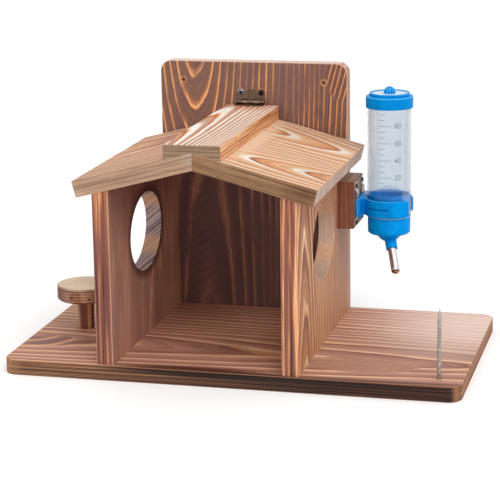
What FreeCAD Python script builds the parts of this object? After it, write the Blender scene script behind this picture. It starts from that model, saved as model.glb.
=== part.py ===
import FreeCAD, Part
import math
import os
import re

import Sketcher
from FreeCAD import Rotation, Vector

# Squirrel feeder box: a nut house with a hinged gable roof on a wide base, with a perch on the left,
# a cob spike at the front right and a drinking bottle clipped to the right wall.
# Millimetres. X runs to the right, Y to the back, Z up, from the middle of the base's underside.

doc = FreeCAD.newDocument("SquirrelFeeder")
sheet = doc.addObject("Spreadsheet::Sheet", "Sizes")
nodes = []

sizes = {
    # Base board
    "base_width": 400,
    "base_depth": 225,
    "base_thickness": 13.5,
    "base_corner_radius": 12,
    "edge_bevel": 0.6,
    # House boards: the walls, the back and the roof are cut from one plank thickness
    "board_thickness": 14.6,
    "house_width": 177.6,
    "house_offset": -25.1,
    "front_margin": 2.3,
    "wall_height": 149.3,
    "entrance_length": 91.4,
    "entrance_height": 69.8,
    "entrance_rise": 94.6,
    "back_height": 233.6,
    "back_corner_radius": 10,
    "wall_hole_spacing": 133.7,
    "wall_hole_drop": 17.8,
    "wall_hole_radius": 2,
    # Roof
    "roof_slope": 14.6,
    "roof_half_span": 105.8,
    "roof_overhang": 1.1,
    "cap_width": 49.4,
    "cap_ridge_thickness": 6.5,
    # Hinge
    "hinge_shift": -1.7,
    "knuckle_radius": 2.2,
    "knuckle_gap": 0.1,
    "notch_depth": 0.4,
    "hinge_standoff": 0.4,
    "hinge_pin_radius": 1,
    "pin_clearance": 0.05,
    "leaf_thickness": 1,
    "lobe_spacing": 19.4,
    "lobe_radius": 3.9,
    "lobe_reach": 8.9,
    "leaf_peak_rise": 3.2,
    "leaf_valley_rise": 0.4,
    "leaf_valley_spacing": 7.6,
    # Screws: driven length, shank, head
    "screw_clearance": 0.1,
    "cut_overshoot": 1,
    "wood_screw_length": 25,
    "wood_screw_radius": 1.75,
    "wood_screw_head_radius": 3.4,
    "wood_screw_head_height": 2,
    "cap_screw_length": 20,
    "cap_screw_radius": 1.5,
    "cap_screw_head_radius": 2.9,
    "cap_screw_head_height": 1.7,
    "hinge_screw_length": 6,
    "hinge_screw_radius": 1.25,
    "hinge_screw_head_radius": 2.9,
    "hinge_screw_head_height": 1.2,
    "bracket_screw_length": 9,
    "bracket_screw_radius": 1.1,
    "bracket_screw_head_radius": 2.1,
    "bracket_screw_head_height": 1.2,
    "floor_screw_inset": 35,
    "back_screw_spacing": 80,
    "back_foot_screw_spacing": 110,
    "cap_screw_spacing": 28,
    "cap_screw_inset": 45,
    "block_screw_spacing": 24,
    # Perch
    "perch_side_inset": 39.4,
    "perch_front_inset": 109.9,
    "post_height": 28,
    "post_foot_radius": 7.2,
    "post_top_radius": 7.9,
    "dowel_radius": 3,
    "dowel_length": 18,
    "dowel_slack": 0.1,
    "seat_radius": 25.3,
    "seat_thickness": 13.7,
    "seat_foot_bevel": 1.5,
    "seat_groove_depth": 0.8,
    "seat_groove_drop": 2,
    # Cob spike
    "spike_side_inset": 20.7,
    "spike_front_inset": 19.2,
    "spike_shank_radius": 2,
    "spike_taper": 1,
    "spike_radius": 1.6,
    "spike_height": 62,
    "spike_point_length": 9,
    "spike_head_radius": 4,
    "spike_head_height": 2.4,
    # Bottle block and its bracket
    "block_thickness": 15.4,
    "block_width": 43,
    "block_height": 43.4,
    "block_rear_inset": 25.5,
    "block_rise": 112.2,
    "strap_width": 5,
    "strap_thickness": 0.8,
    "strap_height": 41,
    "strap_standoff": 2,
    "strap_flat": 23,
    "strap_bend": 2.6,
    "strap_spacing": 29,
    "strap_screw_spacing": 34,
    # Bottle clip
    "clip_height": 15.5,
    "clip_drop": 3.2,
    "clip_wall": 2.2,
    "clip_fit": 0.1,
    "clip_mouth_angle": 44,
    "clip_lip_length": 5,
    "clip_lip_flare": 16,
    "clip_lip_corner": 3,
    "clip_plate_width": 40,
    "clip_plate_thickness": 2,
    "clip_plate_height": 18,
    "clip_plate_gap": 0.3,
    "clip_neck_length": 1,
    "clip_neck_width": 17,
    "clip_tongue_width": 35,
    "tongue_slack": 0.05,
    # Bottle
    "tube_radius": 20,
    "tube_wall": 1.5,
    "tube_length": 106.3,
    "tube_drop": 0.7,
    "top_cap_radius": 21.4,
    "top_cap_fit": 0.1,
    "top_cap_skirt": 7.5,
    "top_cap_roof": 3.3,
    "top_cap_rim_radius": 18.2,
    "top_cap_rim_height": 2.7,
    "top_cap_rim_wall": 1.9,
    "top_cap_edge": 0.8,
    "disc_thickness": 1.5,
    "disc_ledge": 1.2,
    "disc_fit": 0.05,
    "disc_sink": 0.9,
    "knob_radius": 5.3,
    "knob_height": 6.2,
    "knob_stem_radius": 2.2,
    "knob_flute_radius": 0.7,
    "knob_flute_count": 12,
    "knob_foot": 0.4,
    "seal_thickness": 0.8,
    "seal_slack": 0.1,
    "plug_length": 20,
    "plug_gap": 0.8,
    "lower_cap_wall": 1.6,
    "lower_cap_radius": 19.4,
    "lower_cap_height": 15.7,
    "lower_cap_bevel": 1.6,
    "bowl_radius": 16.1,
    "bowl_rim_radius": 11.5,
    "collar_radius": 5.4,
    "collar_length": 18.7,
    "spout_root_drop": 10.2,
    "spout_lean": 41,
    "spout_turn": 67,
    "spout_radius": 3.9,
    "spout_wall": 0.5,
    "spout_length": 42,
    "spout_inlet": 11,
    "spout_fit": 0.02,
    "spout_crimp": 1.4,
    "spout_lip": 0.6,
    "ball_radius": 3.1,
    "ball_seat_gap": 0.04,
}

for row, (name, number) in enumerate(sizes.items(), 1):
    sheet.set("A%d" % row, name)
    sheet.set("B%d" % row, str(number))
    sheet.setAlias("B%d" % row, name)
doc.recompute()


def from_sheet(text):
    """Turn the names of sizes in a formula into links to the sheet."""
    return re.sub(r"[a-z]+(?:_[a-z]+)+", lambda found: "Sizes." + found.group(0), text)


def value(text):
    """Work out a formula of sizes as a number."""
    return float(sheet.evalExpression(from_sheet(text)))


def bind(piece, prop, text):
    """Let a property follow a formula of sizes."""
    piece.setExpression(prop, from_sheet(text))


def place(piece, x, y, z, axis=None, angle=None):
    """Put a piece at a point worked out from the sizes, turned about one axis.

    The axis is fixed, or level with an x and a y of its own that follow the sizes.
    """
    if isinstance(axis, tuple):
        piece.Placement.Rotation = Rotation(Vector(value(axis[0]), value(axis[1]), 0), value(angle))
        bind(piece, "Placement.Rotation.Axis.x", axis[0])
        bind(piece, "Placement.Rotation.Axis.y", axis[1])
        bind(piece, "Placement.Rotation.Angle", angle)
    elif axis is not None:
        piece.Placement.Rotation = Rotation(axis, value(angle))
        bind(piece, "Placement.Rotation.Angle", angle)
    bind(piece, "Placement.Base.x", x)
    bind(piece, "Placement.Base.y", y)
    bind(piece, "Placement.Base.z", z)


def node(piece, label):
    """Name a finished sub-part and keep it for the hand-over."""
    piece.Label = label
    nodes.append(piece)
    return piece


def new_body(label):
    body = doc.addObject("PartDesign::Body", label)
    body.Label = label
    return body


def outline(body, name, role, corners):
    """Draw a closed outline on one of the body's own planes.

    A corner is (x, y), or (x, y, radius, turn) where an arc runs on to the next corner: its turn is
    1 for anticlockwise and -1 for clockwise, or 2 and -2 where it is more than half a circle.
    """
    sketch = body.newObject("Sketcher::SketchObject", name)
    plane = [feature for feature in body.Origin.OriginFeatures if feature.Role == role][0]
    sketch.AttachmentSupport = [(plane, "")]
    sketch.MapMode = "FlatFace"
    points = [Vector(value(corner[0]), value(corner[1]), 0) for corner in corners]
    count = len(corners)
    for index, corner in enumerate(corners):
        start = points[index]
        end = points[(index + 1) % count]
        if len(corner) == 2:
            sketch.addGeometry(Part.LineSegment(start, end), False)
        else:
            sketch.addGeometry(arc_between(start, end, value(corner[2]), corner[3]), False)
    for index, corner in enumerate(corners):
        following = (index + 1) % count
        turned = len(corner) == 4 and corner[3] < 0
        next_turned = len(corners[following]) == 4 and corners[following][3] < 0
        end_point = 1 if turned else 2
        start_point = 2 if next_turned else 1
        sketch.addConstraint(Sketcher.Constraint("Coincident", index, end_point, following, start_point))
    for index, corner in enumerate(corners):
        turned = len(corner) == 4 and corner[3] < 0
        start_point = 2 if turned else 1
        across = ("DistanceX", corner[0], points[index].x)
        upward = ("DistanceY", corner[1], points[index].y)
        for kind, text, number in (across, upward):
            constraint = sketch.addConstraint(Sketcher.Constraint(kind, -1, 1, index, start_point, number))
            bind(sketch, "Constraints[%d]" % constraint, text)
        if len(corner) == 4:
            constraint = sketch.addConstraint(Sketcher.Constraint("Radius", index, value(corner[2])))
            bind(sketch, "Constraints[%d]" % constraint, corner[2])
    return sketch


def arc_between(start, end, radius, turn):
    """An arc of a given radius from one point to another, kept anticlockwise as sketches want it."""
    chord = end - start
    half = chord.Length / 2
    rise = math.sqrt(max(radius * radius - half * half, 0))
    left = Vector(-chord.y, chord.x, 0).normalize()
    side = 1 if turn in (1, -2) else -1
    centre = start + chord * 0.5 + left * (rise * side)
    first, last = (start, end) if turn > 0 else (end, start)
    first_angle = math.atan2(first.y - centre.y, first.x - centre.x)
    last_angle = math.atan2(last.y - centre.y, last.x - centre.x)
    if last_angle < first_angle:
        last_angle += 2 * math.pi
    return Part.ArcOfCircle(Part.Circle(centre, Vector(0, 0, 1), radius), first_angle, last_angle)


def pad(body, name, sketch, length, side="One side", backwards=False):
    """Give an outline its thickness."""
    feature = body.newObject("PartDesign::Pad", name)
    feature.Profile = sketch
    feature.SideType = side
    feature.Reversed = backwards
    bind(feature, "Length", length)
    doc.recompute()
    return feature


def turned_body(label, corners):
    """A round piece, turned about its upright axis from half its section."""
    body = new_body(label)
    sketch = outline(body, label + "_section", "XZ_Plane", corners)
    feature = body.newObject("PartDesign::Revolution", label + "_turning")
    feature.Profile = sketch
    feature.ReferenceAxis = (sketch, ["V_Axis"])
    feature.Angle = 360
    doc.recompute()
    return body


def dress_edges(body, name, kind, size, chosen):
    """Round or bevel the edges of a body's last feature that a test picks out."""
    base = body.Tip
    picked = ["Edge%d" % (index + 1) for index, edge in enumerate(base.Shape.Edges) if chosen(edge)]
    feature = body.newObject("PartDesign::" + kind, name)
    feature.Base = (base, picked)
    bind(feature, "Radius" if kind == "Fillet" else "Size", size)
    doc.recompute()
    return feature


def runs_along(edge, axis):
    """True where an edge is straight and runs along one axis."""
    box = edge.BoundBox
    spans = {"x": box.XLength, "y": box.YLength, "z": box.ZLength}
    along = spans.pop(axis)
    return along > 1 and max(spans.values()) < 0.01


def cut_away(label, piece, cutters):
    """Cut one or more tools out of a piece, and call the result by its node name."""
    tool = cutters[0]
    if len(cutters) > 1:
        tool = doc.addObject("Part::Compound", label + "_cuts")
        tool.Links = cutters
    result = doc.addObject("Part::Cut", label)
    result.Base = piece
    result.Tool = tool
    return node(result, label)


def rod(label, radius, length, x, y, z, axis=None, angle=None):
    """A plain cylinder that starts at a point and runs up, or along a turned axis."""
    piece = doc.addObject("Part::Cylinder", label)
    bind(piece, "Radius", radius)
    bind(piece, "Height", length)
    place(piece, x, y, z, axis, angle)
    return piece


def plain_block(label, length, width, height, x, y, z):
    """A plain box from its lowest left front corner."""
    piece = doc.addObject("Part::Box", label)
    bind(piece, "Length", length)
    bind(piece, "Width", width)
    bind(piece, "Height", height)
    place(piece, x, y, z)
    return piece


# Lines that several pieces share
house_left = "(house_offset - house_width / 2)"
house_right = "(house_offset + house_width / 2)"
base_rear = "(base_depth / 2)"
wall_front = "(-base_depth / 2 + front_margin)"
back_face = "(base_depth / 2 - board_thickness)"
wall_depth = "(base_depth - board_thickness - front_margin)"
wall_middle = "((front_margin - board_thickness) / 2)"
ridge_under = "(base_thickness + wall_height + house_width / 2 * tan(roof_slope))"
ridge_top = "(%s + board_thickness / cos(roof_slope))" % ridge_under
cap_top = "(%s + cap_ridge_thickness)" % ridge_top
hinge_offset = "(knuckle_radius + hinge_standoff)"
hinge_y = "(%s - %s)" % (back_face, hinge_offset)
hinge_z = "(%s + %s)" % (cap_top, hinge_offset)
hinge_x = "(house_offset + hinge_shift)"
roof_front = "(%s - roof_overhang)" % wall_front
roof_depth = "(%s - %s)" % (hinge_y, roof_front)
perch_x = "(-base_width / 2 + perch_side_inset)"
perch_y = "(-base_depth / 2 + perch_front_inset)"
spike_x = "(base_width / 2 - spike_side_inset)"
spike_y = "(-base_depth / 2 + spike_front_inset)"
block_face = "(%s + block_thickness)" % house_right
block_y = "(%s - block_rear_inset)" % back_face
block_middle = "(base_thickness + block_rise)"
clip_inner = "(tube_radius + clip_fit)"
clip_outer = "(tube_radius + clip_fit + clip_wall)"
clip_middle = "(%s - clip_drop)" % block_middle
bottle_x = "(%s + strap_standoff + strap_thickness + clip_plate_gap + clip_plate_thickness" \
    " + clip_neck_length + %s)" % (block_face, clip_outer)
bottle_y = block_y
tube_bottom = "(%s - clip_height / 2 - tube_drop)" % clip_middle
tube_top = "(%s + tube_length)" % tube_bottom

# Screws: each kind is turned once and then set wherever one is driven. The way is the point's way.
WAYS = {
    "down": (Vector(0, 1, 0), "0"),
    "up": (Vector(0, 1, 0), "180"),
    "up_left": (Vector(0, 1, 0), "180 - roof_slope"),
    "up_right": (Vector(0, 1, 0), "180 + roof_slope"),
    "left": (Vector(0, 1, 0), "90"),
    "right": (Vector(0, 1, 0), "-90"),
    "back": (Vector(1, 0, 0), "90"),
    "front": (Vector(1, 0, 0), "-90"),
}


def countersunk(label, kind, grow="0"):
    """A countersunk screw with its head level with the origin, pointing down; grown, it is its hole."""
    shank = "(%s_radius + %s)" % (kind, grow)
    head = "(%s_head_radius + %s)" % (kind, grow)
    sink = "-%s_head_height" % kind
    end = "-(%s_length + %s)" % (kind, grow)
    return turned_body(label, [("0", "0"), ("0", end), (shank, end), (shank, sink), (head, "0")])


def pan_headed(label, kind, grow="0"):
    """A pan headed screw that seats at the origin, pointing down; grown, it is its hole."""
    shank = "(%s_radius + %s)" % (kind, grow)
    head = "%s_head_radius" % kind
    crown = "%s_head_height" % kind
    end = "-(%s_length + %s)" % (kind, grow)
    if grow != "0":
        return turned_body(label, [("0", crown), ("0", end), (shank, end), (shank, crown)])
    return turned_body(label, [("0", crown), ("0", end), (shank, end), (shank, "0"), (head, "0"),
                               (head, crown)])


def set_screws(label, screw, seats):
    """Set one screw, or one screw's hole, at each seat, and group them."""
    links = []
    for number, (x, y, z, way) in enumerate(seats):
        link = doc.addObject("App::Link", "%s_%d" % (label, number + 1))
        link.LinkedObject = screw
        axis, angle = WAYS[way]
        place(link, x, y, z, axis, angle)
        links.append(link)
    group = doc.addObject("Part::Compound", label)
    group.Links = links
    return group


wood_screw = countersunk("wood_screw", "wood_screw")
wood_screw_hole = countersunk("wood_screw_hole", "wood_screw", "screw_clearance")
cap_screw = countersunk("cap_screw", "cap_screw")
cap_screw_hole = countersunk("cap_screw_hole", "cap_screw", "screw_clearance")
hinge_screw = pan_headed("hinge_screw", "hinge_screw")
hinge_screw_hole = pan_headed("hinge_screw_hole", "hinge_screw", "screw_clearance")
bracket_screw = pan_headed("bracket_screw", "bracket_screw")
bracket_screw_hole = pan_headed("bracket_screw_hole", "bracket_screw", "screw_clearance")

# Where the screws go
left_wall_middle = "(%s + board_thickness / 2)" % house_left
right_wall_middle = "(%s - board_thickness / 2)" % house_right
floor_seats = []
for wall_x in (left_wall_middle, right_wall_middle):
    floor_seats.append((wall_x, "(%s + floor_screw_inset)" % wall_front, "0", "up"))
    floor_seats.append((wall_x, "(%s - floor_screw_inset)" % back_face, "0", "up"))
for sign in "-+":
    floor_seats.append(("(house_offset %s back_foot_screw_spacing / 2)" % sign,
                        "(%s - board_thickness / 2)" % base_rear, "0", "up"))
back_seats = []
for wall_x in (left_wall_middle, right_wall_middle):
    for sign in "-+":
        rise = "(base_thickness + wall_height / 2 %s back_screw_spacing / 2)" % sign
        back_seats.append((wall_x, base_rear, rise, "front"))
block_seats = []
for sign in "-+":
    rise = "(%s %s block_screw_spacing / 2)" % (block_middle, sign)
    block_seats.append(("(%s - board_thickness)" % house_right, block_y, rise, "right"))
perch_foot_seat = [(perch_x, perch_y, "0", "up")]
post_top = "(base_thickness + post_height)"
cap_seats = []
for sign, way in (("-", "up_left"), ("+", "up_right")):
    for line in ("(%s + cap_screw_inset)" % roof_front, "(%s - cap_screw_inset)" % hinge_y):
        cap_seats.append(("(house_offset %s cap_screw_spacing / 2)" % sign, line,
                          "(%s - cap_screw_spacing / 2 * tan(roof_slope))" % ridge_under, way))
wall_leaf_seats = []
roof_leaf_seats = []
for sign in "-+":
    lobe_x = "(%s %s lobe_spacing / 2)" % (hinge_x, sign)
    wall_leaf_seats.append((lobe_x, "(%s - leaf_thickness)" % back_face,
                            "(%s + lobe_reach)" % hinge_z, "back"))
    roof_leaf_seats.append((lobe_x, "(%s - lobe_reach)" % hinge_y,
                            "(%s + leaf_thickness)" % cap_top, "down"))
bracket_seats = []
for strap_sign in "-+":
    for sign in "-+":
        bracket_seats.append(("(%s + strap_thickness)" % block_face,
                              "(%s %s strap_spacing / 2)" % (block_y, strap_sign),
                              "(%s %s strap_screw_spacing / 2)" % (block_middle, sign), "left"))

# Base board: one wide plank with round corners and softened edges
base_blank = new_body("base_board_blank")
base_sketch = outline(base_blank, "base_outline", "XY_Plane", [
    ("-base_width / 2", "-base_depth / 2"),
    ("base_width / 2", "-base_depth / 2"),
    ("base_width / 2", "base_depth / 2"),
    ("-base_width / 2", "base_depth / 2"),
])
pad(base_blank, "base_plank", base_sketch, "base_thickness")
dress_edges(base_blank, "base_corners", "Fillet", "base_corner_radius",
            lambda edge: runs_along(edge, "z"))
dress_edges(base_blank, "base_edges", "Chamfer", "edge_bevel",
            lambda edge: edge.BoundBox.ZLength < 0.01)
spike_profile = [
    ("0", "0"),
    ("0", "-(base_thickness + spike_height)"),
    ("spike_radius", "-(base_thickness + spike_height - spike_point_length)"),
    ("spike_radius", "-(base_thickness + spike_taper / 2)"),
    ("spike_shank_radius", "-(base_thickness - spike_taper / 2)"),
    ("spike_shank_radius", "-spike_head_height"),
    ("spike_head_radius", "0"),
]
spike_hole = turned_body("spike_hole", [
    ("0", "0"),
    ("0", "-(base_thickness + cut_overshoot)"),
    ("(spike_shank_radius + screw_clearance)", "-(base_thickness + cut_overshoot)"),
    ("(spike_shank_radius + screw_clearance)", "-spike_head_height"),
    ("(spike_head_radius + screw_clearance)", "0"),
])
place(spike_hole, spike_x, spike_y, "0", Vector(0, 1, 0), "180")
cut_away("base_board", base_blank, [
    set_screws("base_floor_holes", wood_screw_hole, floor_seats),
    set_screws("base_perch_hole", wood_screw_hole, perch_foot_seat),
    spike_hole,
])

# Back board: stands on the base's rear edge and rises above the roof, with two holes for a wall or tree
back_blank = new_body("back_board_blank")
back_sketch = outline(back_blank, "back_outline", "XZ_Plane", [
    ("-house_width / 2", "0"),
    ("house_width / 2", "0"),
    ("house_width / 2", "back_height"),
    ("-house_width / 2", "back_height"),
])
pad(back_blank, "back_plank", back_sketch, "board_thickness", backwards=True)
back_top = value("back_height")
dress_edges(back_blank, "back_corners", "Fillet", "back_corner_radius",
            lambda edge: runs_along(edge, "y") and edge.BoundBox.ZMin > back_top - 1)
dress_edges(back_blank, "back_edges", "Chamfer", "edge_bevel",
            lambda edge: edge.BoundBox.YLength < 0.01 and edge.BoundBox.ZMax > 1)
place(back_blank, "house_offset", back_face, "base_thickness")
wall_holes = []
for name, sign in (("left", "-"), ("right", "+")):
    wall_holes.append(rod(name + "_wall_hole", "wall_hole_radius", "(board_thickness + 2 * cut_overshoot)",
                          "(house_offset %s wall_hole_spacing / 2)" % sign,
                          "(%s + cut_overshoot)" % base_rear,
                          "(base_thickness + back_height - wall_hole_drop)", Vector(1, 0, 0), "90"))
cut_away("back_board", back_blank, wall_holes + [
    set_screws("back_floor_holes", wood_screw_hole, floor_seats[4:]),
    set_screws("back_wall_holes", wood_screw_hole, back_seats),
    set_screws("back_hinge_holes", hinge_screw_hole, wall_leaf_seats),
])

# Side walls: upright boards with an oval way in, their tops bevelled to the roof's slope
oval = doc.addObject("Part::Ellipse", "entrance_oval")
bind(oval, "MajorRadius", "entrance_length / 2")
bind(oval, "MinorRadius", "entrance_height / 2")
oval.Placement.Rotation = Rotation(Vector(0, 1, 0), Vector(0, 0, 1), Vector(1, 0, 0), "ZXY")
bind(oval, "Placement.Base.x", "%s - cut_overshoot" % house_left)
bind(oval, "Placement.Base.y", wall_middle)
bind(oval, "Placement.Base.z", "base_thickness + entrance_rise")
entrance = doc.addObject("Part::Extrusion", "entrance_way")
entrance.Base = oval
entrance.DirMode = "Custom"
entrance.Dir = Vector(1, 0, 0)
bind(entrance, "LengthFwd", "house_width + 2 * cut_overshoot")
entrance.Solid = True


def side_wall(label, side, more_cuts):
    """One side wall; side is -1 for the left wall and 1 for the right one."""
    blank = new_body(label + "_blank")
    outer = "%d * house_width / 2" % side
    inner = "%d * (house_width / 2 - board_thickness)" % side
    sketch = outline(blank, label + "_outline", "XZ_Plane", [
        (outer, "0"),
        (inner, "0"),
        (inner, "wall_height + board_thickness * tan(roof_slope)"),
        (outer, "wall_height"),
    ])
    pad(blank, label + "_plank", sketch, wall_depth, backwards=True)
    dress_edges(blank, label + "_front_edges", "Chamfer", "edge_bevel",
                lambda edge: runs_along(edge, "z") and edge.BoundBox.YMax < 1)
    place(blank, "house_offset", wall_front, "base_thickness")
    return cut_away(label, blank, [
        entrance,
        set_screws(label + "_floor_holes", wood_screw_hole, floor_seats[:4]),
        set_screws(label + "_back_holes", wood_screw_hole, back_seats),
    ] + more_cuts)


side_wall("left_side_panel", -1, [])
side_wall("right_side_panel", 1, [set_screws("panel_block_holes", wood_screw_hole, block_seats)])


def roof_board(label, side):
    """One pitched roof board, mitred at the ridge and cut square at the eave."""
    blank = new_body(label + "_blank")
    eave = "%d * roof_half_span" % side
    eave_under = "%d * (roof_half_span - board_thickness * sin(roof_slope))" % side
    eave_top = "(%s - roof_half_span * tan(roof_slope))" % ridge_top
    sketch = outline(blank, label + "_outline", "XZ_Plane", [
        ("0", ridge_under),
        (eave_under, "%s - board_thickness * cos(roof_slope)" % eave_top),
        (eave, eave_top),
        ("0", ridge_top),
    ])
    pad(blank, label + "_plank", sketch, roof_depth, backwards=True)
    reach = value("roof_half_span") / 2
    dress_edges(blank, label + "_edges", "Chamfer", "edge_bevel", lambda edge: (
        edge.BoundBox.YLength > 1 and side * edge.BoundBox.Center.x > reach))
    place(blank, "house_offset", roof_front, "0")
    return cut_away(label, blank, [set_screws(label + "_cap_holes", cap_screw_hole, cap_seats)])


roof_board("roof_left_board", -1)
roof_board("roof_right_board", 1)

# Ridge cap: a flat-topped batten hollowed below to sit over both roof boards
cap_blank = new_body("ridge_cap_blank")
cap_side = "(%s - cap_width / 2 * tan(roof_slope))" % ridge_top
cap_sketch = outline(cap_blank, "cap_outline", "XZ_Plane", [
    ("0", ridge_top),
    ("cap_width / 2", cap_side),
    ("cap_width / 2", cap_top),
    ("-cap_width / 2", cap_top),
    ("-cap_width / 2", cap_side),
])
pad(cap_blank, "cap_batten", cap_sketch, roof_depth, backwards=True)
cap_level = value(cap_top)
dress_edges(cap_blank, "cap_edges", "Chamfer", "edge_bevel", lambda edge: (
    runs_along(edge, "y") and edge.BoundBox.ZMin > cap_level - 1))
place(cap_blank, "house_offset", roof_front, "0")
cut_away("ridge_cap", cap_blank, [
    set_screws("cap_batten_holes", cap_screw_hole, cap_seats),
    set_screws("cap_hinge_holes", hinge_screw_hole, roof_leaf_seats),
])

# Hinge: two stamped leaves with scalloped ends, whose five knuckles share one pin
leaf_width = "(lobe_spacing + 2 * lobe_radius)"
knuckle_length = "(%s / 5)" % leaf_width


def hinge_leaf(label, own_knuckles, axis, angle):
    """One leaf in the barrel's frame: X along the pin, the plate reaching out along Y."""
    blank = new_body(label + "_blank")
    half = "%s / 2" % leaf_width
    left_end = "(-lobe_spacing / 2 + lobe_radius * cos(30))"
    end_rise = "(lobe_reach + lobe_radius * sin(30))"
    sketch = outline(blank, label + "_outline", "XY_Plane", [
        ("-%s" % half, "0"),
        (half, "0"),
        (half, "lobe_reach", "lobe_radius", 1),
        ("-%s" % left_end, end_rise),
        ("leaf_valley_spacing / 2", "lobe_reach + leaf_valley_rise"),
        ("0", "lobe_reach + leaf_peak_rise"),
        ("-leaf_valley_spacing / 2", "lobe_reach + leaf_valley_rise"),
        (left_end, end_rise, "lobe_radius", 1),
        ("-%s" % half, "lobe_reach"),
    ])
    pad(blank, label + "_plate", sketch, "leaf_thickness")
    place(blank, "0", "0", "-" + hinge_offset)
    knuckles = [blank]
    gaps = []
    for number in range(5):
        start = "(-%s / 2 + %d * %s)" % (leaf_width, number, knuckle_length)
        if number in own_knuckles:
            knuckles.append(rod("%s_knuckle_%d" % (label, number), "knuckle_radius", knuckle_length,
                                start, "0", "0", Vector(0, 1, 0), "90"))
        else:
            gaps.append(plain_block("%s_notch_%d" % (label, number),
                                    "(%s + 2 * knuckle_gap)" % knuckle_length,
                                    "(knuckle_radius + notch_depth)", "(2 * %s)" % hinge_offset,
                                    "(%s - knuckle_gap)" % start, "0", "(-%s)" % hinge_offset))
    gaps.append(rod(label + "_bore", "(hinge_pin_radius + pin_clearance)",
                    "(%s + 2 * cut_overshoot)" % leaf_width, "(-%s / 2 - cut_overshoot)" % leaf_width,
                    "0", "0", Vector(0, 1, 0), "90"))
    for number, sign in enumerate("-+"):
        gaps.append(rod("%s_screw_way_%d" % (label, number), "(hinge_screw_radius + screw_clearance)",
                        "(leaf_thickness + 2 * cut_overshoot)", "(%s lobe_spacing / 2)" % sign, "lobe_reach",
                        "(-%s - cut_overshoot)" % hinge_offset))
    joined = doc.addObject("Part::MultiFuse", label + "_joined")
    joined.Shapes = knuckles
    leaf = cut_away(label, joined, gaps)
    place(leaf, hinge_x, hinge_y, hinge_z, axis, angle)
    return leaf


hinge_leaf("wall_hinge_leaf", (0, 2, 4), Vector(1, 0, 0), "90")
hinge_leaf("roof_hinge_leaf", (1, 3), Vector(0, 0, 1), "180")
node(rod("hinge_pin", "hinge_pin_radius", leaf_width, "(%s - %s / 2)" % (hinge_x, leaf_width),
         hinge_y, hinge_z, Vector(0, 1, 0), "90"), "hinge_pin")

# Perch: a short tapered post with a turned slice of log on top
perch_post_blank = turned_body("perch_post_blank", [
    ("0", "0"),
    ("post_foot_radius", "0"),
    ("post_top_radius", "post_height"),
    ("0", "post_height"),
])
place(perch_post_blank, perch_x, perch_y, "base_thickness")
dowel_hole = rod("dowel_hole", "(dowel_radius + dowel_slack)", "(dowel_length + 2 * dowel_slack)",
                 perch_x, perch_y, "(%s - dowel_length / 2 - dowel_slack)" % post_top)
cut_away("perch_post", perch_post_blank, [
    set_screws("post_foot_hole", wood_screw_hole, perch_foot_seat),
    dowel_hole,
])
perch_seat_blank = turned_body("perch_seat_blank", [
    ("0", "0"),
    ("seat_radius - seat_foot_bevel", "0"),
    ("seat_radius", "seat_foot_bevel"),
    ("seat_radius", "seat_thickness - seat_groove_drop - seat_groove_depth"),
    ("seat_radius - seat_groove_depth", "seat_thickness - seat_groove_drop"),
    ("seat_radius", "seat_thickness - seat_groove_drop + seat_groove_depth"),
    ("seat_radius", "seat_thickness - seat_groove_depth"),
    ("seat_radius - seat_groove_depth", "seat_thickness"),
    ("0", "seat_thickness"),
])
place(perch_seat_blank, perch_x, perch_y, post_top)
cut_away("perch_seat", perch_seat_blank, [dowel_hole])
node(rod("perch_dowel", "dowel_radius", "dowel_length", perch_x, perch_y,
         "(%s - dowel_length / 2)" % post_top), "perch_dowel")

# Cob spike: a long pointed pin driven up through the base from a countersunk head
cob_spike = turned_body("cob_spike", spike_profile)
place(cob_spike, spike_x, spike_y, "0", Vector(0, 1, 0), "180")
node(cob_spike, "cob_spike")

# Bottle block: a wooden square screwed to the right wall from inside the house
block_blank = new_body("bottle_block_blank")
block_sketch = outline(block_blank, "block_outline", "YZ_Plane", [
    ("-block_width / 2", "-block_height / 2"),
    ("block_width / 2", "-block_height / 2"),
    ("block_width / 2", "block_height / 2"),
    ("-block_width / 2", "block_height / 2"),
])
pad(block_blank, "block_wood", block_sketch, "block_thickness")
dress_edges(block_blank, "block_edges", "Chamfer", "edge_bevel", lambda edge: edge.BoundBox.XMax > 1)
place(block_blank, house_right, block_y, block_middle)
cut_away("bottle_block", block_blank, [
    set_screws("block_wall_holes", wood_screw_hole, block_seats),
    set_screws("block_bracket_holes", bracket_screw_hole, bracket_seats),
])

# Bracket: two bowed steel straps that hold the clip's tongue against the block
strap = new_body("bracket_strap")
strap_out = "(strap_standoff + strap_thickness)"
strap_knee = "(strap_flat / 2 + strap_bend)"
strap_sketch = outline(strap, "strap_outline", "XZ_Plane", [
    ("0", "-strap_height / 2"),
    ("strap_thickness", "-strap_height / 2"),
    ("strap_thickness", "-%s" % strap_knee),
    (strap_out, "-strap_flat / 2"),
    (strap_out, "strap_flat / 2"),
    ("strap_thickness", strap_knee),
    ("strap_thickness", "strap_height / 2"),
    ("0", "strap_height / 2"),
    ("0", "(%s - strap_thickness / 2)" % strap_knee),
    ("strap_standoff", "(strap_flat - strap_thickness) / 2"),
    ("strap_standoff", "-(strap_flat - strap_thickness) / 2"),
    ("0", "-(%s - strap_thickness / 2)" % strap_knee),
])
pad(strap, "strap_strip", strap_sketch, "strap_width", side="Symmetric")
strap_pair = []
for name, sign in (("front", "-"), ("rear", "+")):
    link = doc.addObject("App::Link", name + "_strap")
    link.LinkedObject = strap
    place(link, block_face, "(%s %s strap_spacing / 2)" % (block_y, sign), block_middle)
    strap_pair.append(link)
straps = doc.addObject("Part::Compound", "strap_pair")
straps.Links = strap_pair
cut_away("bottle_bracket", straps, [
    set_screws("strap_holes", bracket_screw_hole, bracket_seats),
])

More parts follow.
